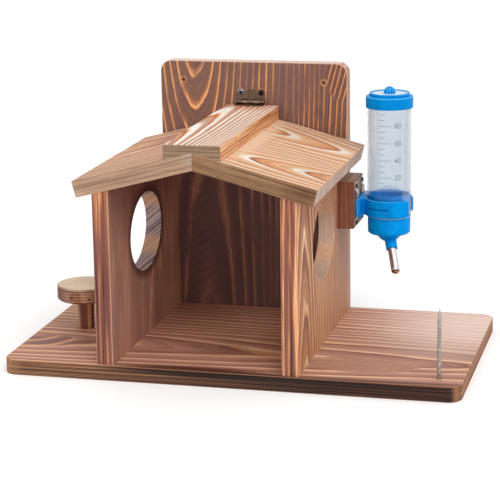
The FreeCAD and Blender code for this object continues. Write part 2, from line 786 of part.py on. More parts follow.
# Bottle clip: a springy plastic ring open to the right, on a plate whose tongue sits under the straps
clip_ring = new_body("clip_ring")
mouth_cos = "cos(clip_mouth_angle)"
mouth_sin = "sin(clip_mouth_angle)"
lip_x = "clip_lip_length * cos(clip_mouth_angle - 90 + clip_lip_flare)"
lip_y = "clip_lip_length * sin(clip_mouth_angle - 90 + clip_lip_flare)"
ring_sketch = outline(clip_ring, "ring_outline", "XY_Plane", [
    ("%s * %s" % (clip_outer, mouth_cos), "%s * %s" % (clip_outer, mouth_sin), clip_outer, 2),
    ("%s * %s" % (clip_outer, mouth_cos), "-%s * %s" % (clip_outer, mouth_sin)),
    ("%s * %s + %s" % (clip_outer, mouth_cos, lip_x),
     "-(%s * %s + %s)" % (clip_outer, mouth_sin, lip_y)),
    ("%s * %s + %s" % (clip_inner, mouth_cos, lip_x),
     "-(%s * %s + %s)" % (clip_inner, mouth_sin, lip_y)),
    ("%s * %s" % (clip_inner, mouth_cos), "-%s * %s" % (clip_inner, mouth_sin), clip_inner, -2),
    ("%s * %s" % (clip_inner, mouth_cos), "%s * %s" % (clip_inner, mouth_sin)),
    ("%s * %s + %s" % (clip_inner, mouth_cos, lip_x), "(%s * %s + %s)" % (clip_inner, mouth_sin, lip_y)),
    ("%s * %s + %s" % (clip_outer, mouth_cos, lip_x), "(%s * %s + %s)" % (clip_outer, mouth_sin, lip_y)),
])
pad(clip_ring, "ring_band", ring_sketch, "clip_height", side="Symmetric")
dress_edges(clip_ring, "lip_corners", "Fillet", "clip_lip_corner",
            lambda edge: edge.BoundBox.ZLength < 0.01 and edge.Length < value("1.5 * clip_wall"))
plate_outer = "(-%s - clip_neck_length)" % clip_outer
plate_inner = "(%s - clip_plate_thickness)" % plate_outer
clip_pieces = [
    clip_ring,
    plain_block("clip_plate", "clip_plate_thickness", "clip_plate_width", "clip_plate_height",
                plate_inner, "-clip_plate_width / 2", "-clip_plate_height / 2"),
    plain_block("clip_neck", "(clip_neck_length + clip_wall)", "clip_neck_width", "clip_height",
                plate_outer, "-clip_neck_width / 2", "-clip_height / 2"),
    plain_block("clip_root", "(strap_standoff + strap_thickness + clip_plate_gap)", "clip_neck_width",
                "clip_height", "(%s - strap_standoff - strap_thickness - clip_plate_gap)" % plate_inner,
                "-clip_neck_width / 2", "-clip_height / 2"),
    plain_block("clip_tongue", "(strap_standoff - tongue_slack)", "clip_tongue_width", "clip_height",
                "(%s - strap_standoff - strap_thickness - clip_plate_gap)" % plate_inner,
                "-clip_tongue_width / 2", "-clip_height / 2"),
]
clip_joined = doc.addObject("Part::MultiFuse", "clip_joined")
clip_joined.Shapes = clip_pieces
clip_way = rod("clip_tube_way", clip_inner, "(clip_height + 2 * cut_overshoot)", "0", "0",
               "(-clip_height / 2 - cut_overshoot)")
bottle_clip = cut_away("bottle_clip", clip_joined, [clip_way])
place(bottle_clip, bottle_x, bottle_y, clip_middle)

# Bottle tube: a clear open-ended cylinder
tube = turned_body("bottle_tube", [
    ("tube_radius - tube_wall", "0"),
    ("tube_radius", "0"),
    ("tube_radius", "tube_length"),
    ("tube_radius - tube_wall", "tube_length"),
])
place(tube, bottle_x, bottle_y, tube_bottom)
node(tube, "bottle_tube")

# Top cap: a moulded ring that slips over the tube, a clear disc on its ledge and a fluted dome of a knob
cap_bore = "(tube_radius + top_cap_fit)"
rim_inner = "(top_cap_rim_radius - top_cap_rim_wall)"
ledge_inner = "(%s - disc_ledge)" % rim_inner
rim_top = "(top_cap_roof + top_cap_rim_height)"
ledge_top = "(%s - disc_thickness - disc_sink)" % rim_top
top_cap = turned_body("top_cap_ring", [
    (cap_bore, "-top_cap_skirt"),
    ("top_cap_radius", "-top_cap_skirt"),
    ("top_cap_radius", "top_cap_roof - top_cap_edge"),
    ("top_cap_radius - top_cap_edge", "top_cap_roof"),
    ("top_cap_rim_radius", "top_cap_roof"),
    ("top_cap_rim_radius", rim_top),
    (rim_inner, rim_top),
    (rim_inner, ledge_top),
    (ledge_inner, ledge_top),
    (ledge_inner, "0"),
    (cap_bore, "0"),
])
place(top_cap, bottle_x, bottle_y, tube_top)
node(top_cap, "top_cap_ring")
disc = turned_body("top_cap_disc", [
    ("knob_stem_radius + disc_fit", "0"),
    ("%s - disc_fit" % rim_inner, "0"),
    ("%s - disc_fit" % rim_inner, "disc_thickness"),
    ("knob_stem_radius + disc_fit", "disc_thickness"),
])
place(disc, bottle_x, bottle_y, "%s + %s" % (tube_top, ledge_top))
node(disc, "top_cap_disc")
knob_blank = turned_body("top_cap_knob_blank", [
    ("0", "-disc_thickness"),
    ("knob_stem_radius", "-disc_thickness"),
    ("knob_stem_radius", "0"),
    ("knob_radius", "0"),
    ("knob_radius", "knob_height - knob_radius", "knob_radius", 1),
    ("0", "knob_height"),
])
flutes = []
for number in range(round(value("knob_flute_count"))):
    turn = "(%d * 360 / knob_flute_count)" % number
    flutes.append(rod("knob_flute_%d" % (number + 1), "knob_flute_radius", "knob_height",
                      "knob_radius * cos(%s)" % turn, "knob_radius * sin(%s)" % turn, "knob_foot"))
knob = cut_away("top_cap_knob", knob_blank, flutes)
place(knob, bottle_x, bottle_y, "%s + %s + disc_thickness" % (tube_top, ledge_top))

# Lower cap: a cup that plugs the tube from below, with a flat shoulder round a bowl, and a collar that
# leans out of the bowl to the front
plug_radius = "(tube_radius - tube_wall - plug_gap)"
plug_top = "(seal_thickness + plug_length)"
cup_radius = "(%s - lower_cap_wall)" % plug_radius
cup_floor = "(lower_cap_height - lower_cap_wall)"
bowl_centre = "sqrt(bowl_radius^2 - bowl_rim_radius^2)"
bowl_drop = "(lower_cap_height + bowl_radius - %s)" % bowl_centre
inner_bowl_radius = "(bowl_radius - lower_cap_wall)"
inner_rim_radius = "sqrt(%s^2 - (%s - lower_cap_wall)^2)" % (inner_bowl_radius, bowl_centre)
lower_cap_top = "(%s - seal_thickness)" % tube_bottom
lower_blank = turned_body("lower_cap_blank", [
    ("0", plug_top),
    ("0", "-%s" % bowl_drop, "bowl_radius", 1),
    ("bowl_rim_radius", "-lower_cap_height"),
    ("lower_cap_radius - lower_cap_bevel", "-lower_cap_height"),
    ("lower_cap_radius", "-(lower_cap_height - lower_cap_bevel)"),
    ("lower_cap_radius", "0"),
    (plug_radius, "0"),
    (plug_radius, plug_top),
])
place(lower_blank, bottle_x, bottle_y, lower_cap_top)
cup_inside = turned_body("cup_inside", [
    ("0", "%s + cut_overshoot" % plug_top),
    ("0", "lower_cap_wall - %s" % bowl_drop, inner_bowl_radius, 1),
    (inner_rim_radius, "-%s" % cup_floor),
    (cup_radius, "-%s" % cup_floor),
    (cup_radius, "%s + cut_overshoot" % plug_top),
])
place(cup_inside, bottle_x, bottle_y, lower_cap_top)
spout_root = "(%s - spout_root_drop)" % lower_cap_top
LEAN_AXIS = ("-sin(spout_turn)", "-cos(spout_turn)")


def down_spout(reach):
    """The point at a distance down the spout's middle line."""
    return ("%s + %s * sin(spout_lean) * cos(spout_turn)" % (bottle_x, reach),
            "%s - %s * sin(spout_lean) * sin(spout_turn)" % (bottle_y, reach),
            "%s - %s * cos(spout_lean)" % (spout_root, reach))


collar = rod("lower_cap_collar", "collar_radius", "collar_length", *down_spout("0"),
             LEAN_AXIS, "180 + spout_lean")
lower_joined = doc.addObject("Part::MultiFuse", "lower_cap_joined")
lower_joined.Shapes = [lower_blank, collar]
spout_way = rod("spout_way", "(spout_radius + spout_fit)", "spout_length", *down_spout("spout_inlet"),
                LEAN_AXIS, "180 + spout_lean")
water_way = rod("water_way", "(spout_radius - spout_wall)", "spout_length", *down_spout("0"),
                LEAN_AXIS, "180 + spout_lean")
cut_away("lower_cap", lower_joined, [cup_inside, spout_way, water_way])
seal = turned_body("seal_washer", [
    ("%s + seal_slack" % plug_radius, "0"),
    ("lower_cap_radius", "0"),
    ("lower_cap_radius", "seal_thickness"),
    ("%s + seal_slack" % plug_radius, "seal_thickness"),
])
place(seal, bottle_x, bottle_y, lower_cap_top)
node(seal, "seal_washer")

# Spout: a steel tube pressed into the collar, its mouth crimped to keep the ball in
spout_bore = "(spout_radius - spout_wall)"
lip_radius = "(%s - spout_lip)" % spout_bore
spout = turned_body("spout_tube", [
    (spout_bore, "-spout_inlet"),
    (spout_bore, "-(spout_length - spout_crimp)"),
    (lip_radius, "-spout_length"),
    ("(%s + spout_wall)" % lip_radius, "-spout_length"),
    ("spout_radius", "-(spout_length - spout_crimp)"),
    ("spout_radius", "-spout_inlet"),
])
place(spout, *down_spout("0"), LEAN_AXIS, "spout_lean")
node(spout, "spout_tube")
ball_reach = "(spout_length - sqrt((ball_radius + ball_seat_gap)^2 - %s^2))" % lip_radius
ball = doc.addObject("Part::Sphere", "spout_ball")
bind(ball, "Radius", "ball_radius")
place(ball, *down_spout(ball_reach))
node(ball, "spout_ball")

# The screws themselves
node(set_screws("floor_screws", wood_screw, floor_seats), "floor_screws")
node(set_screws("back_screws", wood_screw, back_seats), "back_screws")
node(set_screws("block_screws", wood_screw, block_seats), "block_screws")
node(set_screws("perch_screw", wood_screw, perch_foot_seat), "perch_screw")
node(set_screws("cap_screws", cap_screw, cap_seats), "cap_screws")
node(set_screws("wall_leaf_screws", hinge_screw, wall_leaf_seats), "wall_leaf_screws")
node(set_screws("roof_leaf_screws", hinge_screw, roof_leaf_seats), "roof_leaf_screws")
node(set_screws("bracket_screws", bracket_screw, bracket_seats), "bracket_screws")

doc.recompute()

# Nothing is written unless every feature is sound
for piece in doc.Objects:
    if "Invalid" in piece.State or "Error" in piece.State:
        raise RuntimeError("%s could not be built: %s" % (piece.Label, piece.State))
for piece in nodes:
    if piece.Shape.isNull() or not piece.Shape.isValid():
        raise RuntimeError("%s has no sound solid" % piece.Label)
    if not piece.Shape.Solids:
        raise RuntimeError("%s holds no solid" % piece.Label)

os.makedirs("parts", exist_ok=True)
for piece in nodes:
    piece.Shape.exportStep(os.path.join("parts", piece.Label + ".step"))
    box = piece.Shape.optimalBoundingBox()
    print("%-18s %2d solids %10.1f mm3  x %7.1f %7.1f  y %7.1f %7.1f  z %6.1f %6.1f" % (
        piece.Label, len(piece.Shape.Solids), piece.Shape.Volume,
        box.XMin, box.XMax, box.YMin, box.YMax, box.ZMin, box.ZMax))
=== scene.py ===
import math

import bmesh
import bpy
from mathutils import Matrix, Vector


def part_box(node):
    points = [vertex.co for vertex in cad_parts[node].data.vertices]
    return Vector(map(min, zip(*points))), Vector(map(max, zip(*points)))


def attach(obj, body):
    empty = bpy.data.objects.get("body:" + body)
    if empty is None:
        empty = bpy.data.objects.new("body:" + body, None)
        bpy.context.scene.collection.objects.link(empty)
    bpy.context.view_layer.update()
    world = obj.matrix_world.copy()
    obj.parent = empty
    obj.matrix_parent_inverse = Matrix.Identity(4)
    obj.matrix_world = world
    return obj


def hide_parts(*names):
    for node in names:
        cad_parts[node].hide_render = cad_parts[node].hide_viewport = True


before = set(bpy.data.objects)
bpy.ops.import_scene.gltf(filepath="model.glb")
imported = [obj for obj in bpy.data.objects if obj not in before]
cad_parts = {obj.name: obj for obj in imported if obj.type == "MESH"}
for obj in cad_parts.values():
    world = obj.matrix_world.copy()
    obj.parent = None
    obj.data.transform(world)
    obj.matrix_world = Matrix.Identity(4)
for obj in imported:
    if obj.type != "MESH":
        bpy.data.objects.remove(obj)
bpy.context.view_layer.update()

# Base board: one wide fir plank, burnt with a flame and brushed, with its grain along its length.
# Burning darkens the soft early wood, brushing scours it and leaves the hard late wood in bright
# lines. The corners are rounded and every arris is eased.


def linear(colour):
    """Turn an sRGB hex colour into linear red, green, blue and alpha."""
    parts = [int(colour[i:i + 2], 16) / 255 for i in (1, 3, 5)]
    return [c / 12.92 if c <= 0.04045 else ((c + 0.055) / 1.055) ** 2.4 for c in parts] + [1.0]


def feed(tree, node, feeds):
    """Link or set the sockets of a node."""
    for socket, source in feeds.items():
        if isinstance(source, bpy.types.NodeSocket):
            tree.links.new(source, node.inputs[socket])
        else:
            node.inputs[socket].default_value = source


def add(tree, kind, feeds=None, ramp=(), **settings):
    """Add a node with its settings, what feeds its sockets and the stops of its colour ramp."""
    node = tree.nodes.new("ShaderNode" + kind)
    for key, setting in settings.items():
        setattr(node, key, setting)
    feed(tree, node, feeds or {})
    for index, (position, colour) in enumerate(ramp):
        stops = node.color_ramp.elements
        stop = stops[index] if index < 2 else stops.new(position)
        stop.position = position
        stop.color = linear(colour)
    return node


def new_material(name):
    """A new material, its node tree and its main shader."""
    material = bpy.data.materials.new(name)
    material.use_nodes = True
    return material, material.node_tree, material.node_tree.nodes["Principled BSDF"]


def dress(name, material):
    """Give a piece of the frame its finish."""
    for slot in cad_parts[name].material_slots:
        slot.material = material


def trunk(tree, where, pith, turn, ring, drift, wild):
    """The rings of a trunk, their finer lines and the trunk's own space.

    The pith is a point in millimetres that the trunk's middle runs through, turned from upright by
    three angles in degrees. A ring is one year's growth in millimetres. The rings drift from round
    by some millimetres over a hand's breadth, and are wild within that.
    """
    # a trunk changes about seven times as slowly along its length as across it
    log = add(tree, "Mapping", {
        "Vector": where, "Location": [v / 1000 for v in pith],
        "Rotation": [math.radians(v) for v in turn], "Scale": (1, 1, 7)}, vector_type="TEXTURE")
    wander = add(tree, "TexNoise", {"Vector": log.outputs[0], "Scale": 24.0, "Detail": 1.5})
    sway = add(tree, "VectorMath", {
        0: wander.outputs["Color"], 1: [drift / 500] * 2 + [0], 2: [-drift / 1000] * 2 + [0]},
        operation="MULTIPLY_ADD")
    bent = add(tree, "VectorMath", {0: log.outputs[0], 1: sway.outputs[0]}, operation="ADD")
    # Blender's wave has a crest every 2 pi / 20 of a metre where its scale is 1
    ring_scale = 2 * math.pi / 20 / (ring / 1000)
    years = add(tree, "TexWave", {
        "Vector": bent.outputs[0], "Scale": ring_scale, "Distortion": wild, "Detail": 3.0,
        "Detail Scale": 1.2, "Detail Roughness": 0.65},
        wave_type="RINGS", rings_direction="Z", wave_profile="SAW")
    # three or four finer lines lie within a ring
    finer = add(tree, "TexWave", {
        "Vector": bent.outputs[0], "Scale": 3.3 * ring_scale, "Distortion": 2.5, "Detail": 2.0,
        "Detail Scale": 0.8}, wave_type="RINGS", rings_direction="Z", wave_profile="SAW")
    return years.outputs["Fac"], finer.outputs["Fac"], log


def rounded_area(tree, where, centre, radii, core, inside):
    """How far a point is inside a rounded area, whose edge is soft from the core outwards."""
    spot = add(tree, "Mapping", {
        "Vector": where, "Location": [v / 1000 for v in centre],
        "Scale": [v / 1000 for v in radii]}, vector_type="TEXTURE")
    reach = add(tree, "VectorMath", {0: spot.outputs[0]}, operation="LENGTH")
    return add(tree, "MapRange", {0: reach.outputs["Value"], 1: core, 3: inside, 4: 0.0},
               interpolation_type="SMOOTHSTEP").outputs[0]


def fibres(tree, where, bands, spacing, tones, lean, folds):
    """Fibres side by side across an axis, leaning by some degrees.

    They are some millimetres wide, and their tones are run through and back so many times.
    """
    # a fibre is at least sixty times as long as it is wide
    stretch = [60 * folds] * 3
    stretch["XYZ".index(bands)] = 1
    strip = add(tree, "Mapping", {
        "Vector": where, "Scale": stretch, "Rotation": (0, math.radians(lean), 0)},
        vector_type="TEXTURE")
    stripes = add(tree, "TexNoise", {"Vector": strip.outputs[0], "Scale": 1000 / spacing,
                                     "Detail": 3.0, "Roughness": 0.6, "Distortion": 0.15})
    spread = add(tree, "MapRange", {0: stripes.outputs["Fac"], 1: 0.3, 2: 0.7, 4: folds})
    spread = add(tree, "Math", {0: spread.outputs[0], 1: 1.0}, operation="PINGPONG")
    return add(tree, "ValToRGB", {0: spread.outputs[0]}, ramp=tones).outputs[0]


def brushed_fir(name, pith, turn, ring, tones, plain, bare=0.8, drift=4, wild=1.5, fine=0.84,
                arris="#d9a57e", branches=(), edges=(), patches=()):
    """Burnt and brushed fir, sawn from a trunk and oiled.

    To the eye it is brown and dull, with bright raised lines of late wood, fine dark fibres and
    arrises of another tone. The tones run across one ring, outwards, and the plain tone covers the
    rings where the brush missed them, as far as bare says. The finer lines darken it to a share. A
    branch is a rounded area whose rings have a middle, a growth and a drift of their own. Each edge
    is a face, by the way it looks, with fibres of its own. Each patch is a rounded area, multiplied
    by or mixed with a tint or fibres of its own.
    """
    material, tree, shader = new_material(name)
    coord = add(tree, "TexCoord")
    where = coord.outputs["Object"]
    # a face looks squarely one way when its normal lies within 20 degrees or so of it
    squarely = 0.93
    years, finer, log = trunk(tree, where, pith, turn, ring, drift, wild)
    grain = add(tree, "ValToRGB", {0: years}, ramp=tones).outputs[0]
    for heart, way, growth, sway, branch_tones, centre, radii in branches:
        area = rounded_area(tree, where, centre, radii, 0.8, 1.0)
        own, _, _ = trunk(tree, where, heart, way, growth, sway, wild)
        own_grain = add(tree, "ValToRGB", {0: own}, ramp=branch_tones)
        grain = add(tree, "Mix", {0: area, 6: grain, 7: own_grain.outputs[0]},
                    data_type="RGBA").outputs[2]
    # loose fibres about a millimetre and a half wide and five centimetres long
    along = add(tree, "Mapping", {"Vector": log.outputs[0], "Scale": (1, 1, 0.2)})
    fibre = add(tree, "TexNoise", {"Vector": along.outputs[0], "Scale": 620.0, "Detail": 3.0,
                                   "Roughness": 0.65})
    # the flame leaves hand-sized areas more or less burnt, and the brush misses smaller ones
    flame = add(tree, "TexNoise", {"Vector": log.outputs[0], "Scale": 15.0, "Detail": 2.0})
    missed = add(tree, "TexNoise", {"Vector": log.outputs[0], "Scale": 55.0, "Detail": 2.0,
                                    "Distortion": 0.4})
    cover = add(tree, "MapRange", {0: missed.outputs["Fac"], 1: 0.46, 2: 0.62, 4: bare})
    grain = add(tree, "Mix", {0: cover.outputs[0], 6: grain, 7: linear(plain)}, data_type="RGBA")
    lines = add(tree, "MapRange", {0: finer, 3: 1.07, 4: fine})
    threads = add(tree, "MapRange", {0: fibre.outputs["Fac"], 1: 0.3, 2: 0.7, 3: 0.84, 4: 1.12})
    burn = add(tree, "MapRange", {0: flame.outputs["Fac"], 1: 0.35, 2: 0.62, 3: 0.86, 4: 1.06})
    depth = add(tree, "Math", {0: lines.outputs[0], 1: burn.outputs[0]}, operation="MULTIPLY")
    colour = add(tree, "VectorMath", {0: grain.outputs[2], "Scale": depth.outputs[0]},
                 operation="SCALE").outputs[0]
    for facing, *side_fibres in edges:
        face_grain = fibres(tree, where, *side_fibres)
        looks = add(tree, "VectorMath", {0: coord.outputs["Normal"], 1: facing},
                    operation="DOT_PRODUCT")
        mask = add(tree, "Math", {0: looks.outputs["Value"], 1: squarely}, operation="GREATER_THAN")
        colour = add(tree, "Mix", {0: mask.outputs[0], 6: colour, 7: face_grain},
                     data_type="RGBA").outputs[2]
    for centre, radii, tint, core, strength, blend in patches:
        area = rounded_area(tree, where, centre, radii, core, strength)
        tint = linear(tint) if isinstance(tint, str) else fibres(tree, where, *tint)
        colour = add(tree, "Mix", {0: area, 6: colour, 7: tint}, data_type="RGBA",
                     blend_type=blend).outputs[2]
    # eased arrises, which face none of the three ways squarely, are scoured to another tone, and
    # where that tone is paler it is also a painted highlight
    apart = add(tree, "VectorMath", {0: coord.outputs["Normal"]}, operation="ABSOLUTE")
    ways = add(tree, "SeparateXYZ", {0: apart.outputs[0]})
    widest = add(tree, "Math", {0: ways.outputs[0], 1: ways.outputs[1]}, operation="MAXIMUM")
    widest = add(tree, "Math", {0: widest.outputs[0], 1: ways.outputs[2]}, operation="MAXIMUM")
    worn = add(tree, "MapRange", {0: widest.outputs[0], 1: squarely, 2: 0.8, 4: 0.65})
    colour = add(tree, "Mix", {0: worn.outputs[0], 6: colour, 7: linear(arris)}, data_type="RGBA")
    colour = add(tree, "VectorMath", {0: colour.outputs[2], "Scale": threads.outputs[0]},
                 operation="SCALE")
    rough = add(tree, "MapRange", {0: fibre.outputs["Fac"], 3: 0.5, 4: 0.75})
    # the brush leaves the late wood up to 0.4 mm proud
    relief = add(tree, "Math", {0: years, 1: 0.7, 2: fibre.outputs["Fac"]},
                 operation="MULTIPLY_ADD")
    bump = add(tree, "Bump", {"Strength": 0.35, "Distance": 0.0004, "Height": relief.outputs[0]})
    feed(tree, shader, {"Base Color": colour.outputs[0], "Roughness": rough.outputs[0],
                        "Specular IOR Level": 0.3, "Normal": bump.outputs[0]})
    return material


# the front edge and the round corners are nearly black, and the top is darkest before the open
# front and palest at the right
base_edge_tones = [(0.1, "#3a241b"), (0.5, "#5c3b2c"), (0.78, "#80563c"), (1, "#cf9766")]
round_corners = [(x, y) for x in (-0.707, 0.707) for y in (-0.707, 0.707)]
dress("base_board", brushed_fir(
    "base_fir_flamed_and_brushed", (-200, -48, -12), (0, 93.5, 0), 8.6,
    [(0, "#d69c85"), (0.25, "#c8917e"), (0.5, "#ae7868"), (0.68, "#8f5c4a"), (0.75, "#efae7c"),
     (0.88, "#ffdab0"), (1, "#e2ac86")], "#c28d79", bare=0.4, drift=9,
    fine=0.78, arris="#a87454",
    branches=[((-212, -26, 0), (0, 24, 0), 17.0, 5,
               [(0, "#a5786a"), (0.35, "#8f6a66"), (0.6, "#9a6c5c"), (0.7, "#dc9a68"),
                (0.85, "#f0b98a"), (1, "#a5786a")], (-178, -50, 13.5), (27, 19, 6)),
              ((61, -300, 13), (90, 0, 84), 3.2, 3,
               [(0, "#bd8a76"), (0.5, "#ab7866"), (0.7, "#955c46"), (0.78, "#f6b684"),
                (0.92, "#ffd4aa"), (1, "#bd8a76")], (108, -66, 13.5), (56, 24, 6))],
    edges=[*(((x, y, 0), "Z", 2.4, base_edge_tones, 0, 6) for x, y in [(0, -1)] + round_corners),
           ((1, 0, 0), "Z", 2.4, [(0.1, "#5c3527"), (0.45, "#804b36"), (0.7, "#9a6040"),
                                  (1, "#dc9660")], 0, 6),
           ((-1, 0, 0), "Z", 2.4, [(0.2, "#7c5241"), (0.5, "#93664f"), (0.9, "#c98e68")], 0, 1),
           ((0, 1, 0), "Z", 2.4, [(0.2, "#6c4636"), (0.5, "#855a46"), (0.9, "#b07c5c")], 0, 1),
           ((0, 0, -1), "Y", 6.0, [(0.2, "#8d6453"), (0.5, "#a87a66"), (0.9, "#c99873")], 0, 1)],
    patches=[((-25, -124, 13.5), (110, 34, 8), "#7a5a50", 0.5, 1.0, "MULTIPLY"),
             ((150, -116, 5), (330, 17, 60), "#6f5a56", 0.2, 1.0, "MULTIPLY"),
             ((-194, -112, 8), (16, 14, 12), "#c08e66", 0.2, 0.3, "MIX"),
             ((180, 70, 14), (120, 140, 2), "#f6dccf", 0.1, 0.85, "MIX")]))

# Back board: a fir plank that stands on the base's rear edge, flamed darker than the rest. It is
# sawn near the heart of the log, so its rings show as nested arches at the left and as upright
# lines to the right. Two holes near the top take the screws that hang the feeder.
back_side_tones = [(0.2, "#ad7f6e"), (0.5, "#bd9281"), (0.9, "#d8b29a")]
dress("back_board", brushed_fir(
    "back_fir_flamed_dark", (-80, 112.9, 247), (11.6, 0, 0), 5.9,
    [(0, "#a86f55"), (0.06, "#7f5b52"), (0.5, "#84604f"), (0.72, "#8a5f4e"), (0.84, "#cf8753"),
     (0.95, "#f8ba80"), (1, "#d68f5c")], "#7a5750", drift=2.4, arris="#e3c3b2",
    edges=[((0, 0, 1), "Y", 3.0, [(0.2, "#d3ada0"), (0.5, "#e0c0b2"), (0.9, "#eed2bc")], 0, 1),
           *(((x, 0, 0), "Y", 3.0, back_side_tones, 0, 1) for x in (1, -1))],
    branches=[((-46, 60, 215), (0.6, 1.5, 0), 4.9, 11,
               [(0, "#7f5b52"), (0.45, "#84604f"), (0.6, "#5c4248"), (0.7, "#c07a4c"),
                (0.84, "#f2aa6c"), (0.94, "#a86a4a"), (1, "#7f5b52")],
               (36, 97.9, 205), (40, 30, 75)),
              ((8, 84, 215), (0, 15, 0), 4.4, 2,
               [(0, "#86594a"), (0.4, "#7c564a"), (0.6, "#694848"), (0.74, "#cf8450"),
                (0.86, "#f2ad74"), (1, "#86594a")], (60, 97.9, 243), (20, 30, 34)),
              ((-70, 40, 60), (1.5, 0.8, 0), 5.2, 3,
               [(0, "#8a6054"), (0.3, "#6e4f4a"), (0.7, "#765249"), (0.86, "#c08a68"),
                (1, "#8a6054")], (-25, 97.9, 74), (118, 30, 118))],
    # painted shade inside the house, darker in a streak above the cap, raw round the two holes
    patches=[((-25, 96, 70), (110, 6, 112), "#e2d4da", 0.85, 0.85, "MULTIPLY"),
             ((3, 96, 235), (9, 6, 60), "#755450", 0.3, 0.85, "MIX"),
             *(((x, 97.9, 229.3), (4, 4, 4), "#d89a5c", 0.5, 0.8, "MIX") for x in (-92, 41.8))]))

# Side walls: upright fir boards with an oval way in, sawn out and sanded pale. Their tops are
# bevelled to the slope of the roof. They are screwed up through the base and in through the back.
# The left one's inner face, which shows, has painted shade under the roof and is scorched round the
# way in.
wall_front_tones = [(0.1, "#572f29"), (0.34, "#7d4c40"), (0.52, "#8f5a49"), (0.64, "#cd8558"),
                    (0.78, "#f8b885"), (1, "#d99468")]
# the oval's half length and height, half a millimetre over, and far through the boards
way_in = (400, 46.4, 35.6)
streaks = [(0.1, "#60525a"), (0.45, "#8e8288"), (0.6, "#b4a6a8"), (0.9, "#c8a896")]
dress("left_side_panel", brushed_fir(
    "left_wall_fir_flamed", (-165, 20, 60), (0, -2, 0), 4.6,
    [(0, "#c08c7c"), (0.5, "#b98778"), (0.75, "#cb957a"), (0.9, "#edbc92"), (1, "#cf9d82")],
    "#ad7f70", edges=[((0, -1, 0), "X", 3.4, wall_front_tones, 0, 1)],
    patches=[((-99, 80, 20), (8, 60, 60), "#dba87c", 0.2, 0.6, "MIX"),
             # painted shade under the roof
             ((-96, -10, 185), (9, 170, 120), "#a88c96", 0.4, 0.95, "MULTIPLY"),
             ((-99.3, -6.1, 108), (4, 58, 47), "#3d2620", 0.78, 0.75, "MIX"),
             ((-106, -6.1, 108), way_in, ("Z", 2.6, streaks, -40, 3), 0.988, 0.9, "MIX")]))
dress("right_side_panel", brushed_fir(
    "right_wall_fir_flamed", (30, -84, 0), (0, -6, 0), 6.0,
    [(0, "#cc8c62"), (0.35, "#bb7e58"), (0.6, "#8c523c"), (0.72, "#94553a"), (0.8, "#f2b682"),
     (0.92, "#ffdcb2"), (1, "#dca274")], "#c68a64", bare=0.3, drift=5, fine=0.8,
    edges=[((0, -1, 0), "X", 3.4, wall_front_tones, 0, 1)],
    patches=[((64, 78, 100), (8, 40, 90), "#9a7a74", 0.3, 0.5, "MIX"),
             ((57, -6.1, 108), way_in, "#c6aa98", 0.988, 0.85, "MIX")]))

# Roof: two pitched fir boards, mitred at the ridge and cut square at the eaves, flamed lightly so
# that they stay the palest boards of the house. Their grain runs down the slope, with the pale
# tones along the ridge cap.
eave_tones = [(0.1, "#8a6a5c"), (0.4, "#b8968a"), (0.6, "#d2b4a0"), (0.9, "#f2dcc8")]
dress("roof_left_board", brushed_fir(
    "roof_left_fir_lightly_flamed", (-25, 30, 130), (0, -99, 4), 10.5,
    [(0, "#e4bfa3"), (0.3, "#d9ab8b"), (0.5, "#be8864"), (0.64, "#a4643e"), (0.74, "#fbead8"),
     (0.94, "#fdf3e6"), (1, "#e6c2a6")], "#dcb497", bare=0.3, drift=6, fine=0.76,
    edges=[((0, -1, 0), "Z", 1.0, [(0.1, "#8e7765"), (0.5, "#ae9886"), (0.9, "#c6b09c")], -15, 3),
           ((-0.968, 0, -0.252), "Y", 1.6, eave_tones, 0, 1)],
    patches=[((-58, 0, 192), (22, 150, 16), "#f4d8bc", 0.1, 0.3, "MIX"),
             ((-80, 0, 180), (80, 200, 40), "#f2dccb", 0.8, 1.0, "MULTIPLY")]))
roof_tones = [(0, "#f2c69c"), (0.3, "#eeb282"), (0.52, "#e29a66"), (0.7, "#be6a34"),
              (0.77, "#fffaf0"), (0.93, "#fdeacf"), (1, "#eabd92")]
dress("roof_right_board", brushed_fir(
    "roof_right_fir_lightly_flamed", (8, -74, 156), (0, 96.5, 9.5), 6.2, roof_tones, "#dfa678",
    bare=0.2, drift=3, wild=1.0, fine=0.74,
    branches=[((55, 43, 141), (0, 114, -4), 8.0, 3, roof_tones, (30, 64, 185), (140, 88, 60))],
    edges=[((0, -1, 0), "Z", 1.0, [(0.1, "#6a4a32"), (0.5, "#896446"), (0.9, "#a47e58")], 15, 3),
           ((0.968, 0, -0.252), "Y", 1.6, eave_tones, 0, 1)],
    patches=[((4, 0, 194), (13, 150, 9), "#f3d3b4", 0.2, 0.6, "MIX"),
             ((70, -114, 170), (30, 6, 16), "#b59a8a", 0.2, 0.8, "MULTIPLY")]))

# Ridge cap: a flat-topped batten, hollowed below to sit over both roof boards and screwed on from
# inside. Its grain runs from front to back, in long narrow arches.
dress("ridge_cap", brushed_fir(
    "cap_fir_lightly_flamed", (-44, 0, 187), (-91.8, 0, -3), 3.3,
    [(0, "#fffcf4"), (0.14, "#f8dcc6"), (0.36, "#b78d82"), (0.52, "#d49c7c"), (0.66, "#bc6228"),
     (0.75, "#f0a660"), (0.84, "#fffcf4"), (1, "#fffcf4")], "#e8c2a4", bare=0.2, drift=3,
    wild=1.6, fine=0.78,
    edges=[((0, -1, 0), "Z", 0.9, [(0.1, "#735844"), (0.5, "#8e705a"), (0.9, "#a4866c")], 0, 3),
           ((1, 0, 0), "Z", 1.3, [(0.15, "#a86236"), (0.45, "#dd9a64"), (0.6, "#cf8850"),
                                  (0.9, "#fbd09c")], 0, 3)],
    patches=[((-25, 96, 208), (30, 40, 9), "#dfa070", 0.2, 0.6, "MULTIPLY")]))

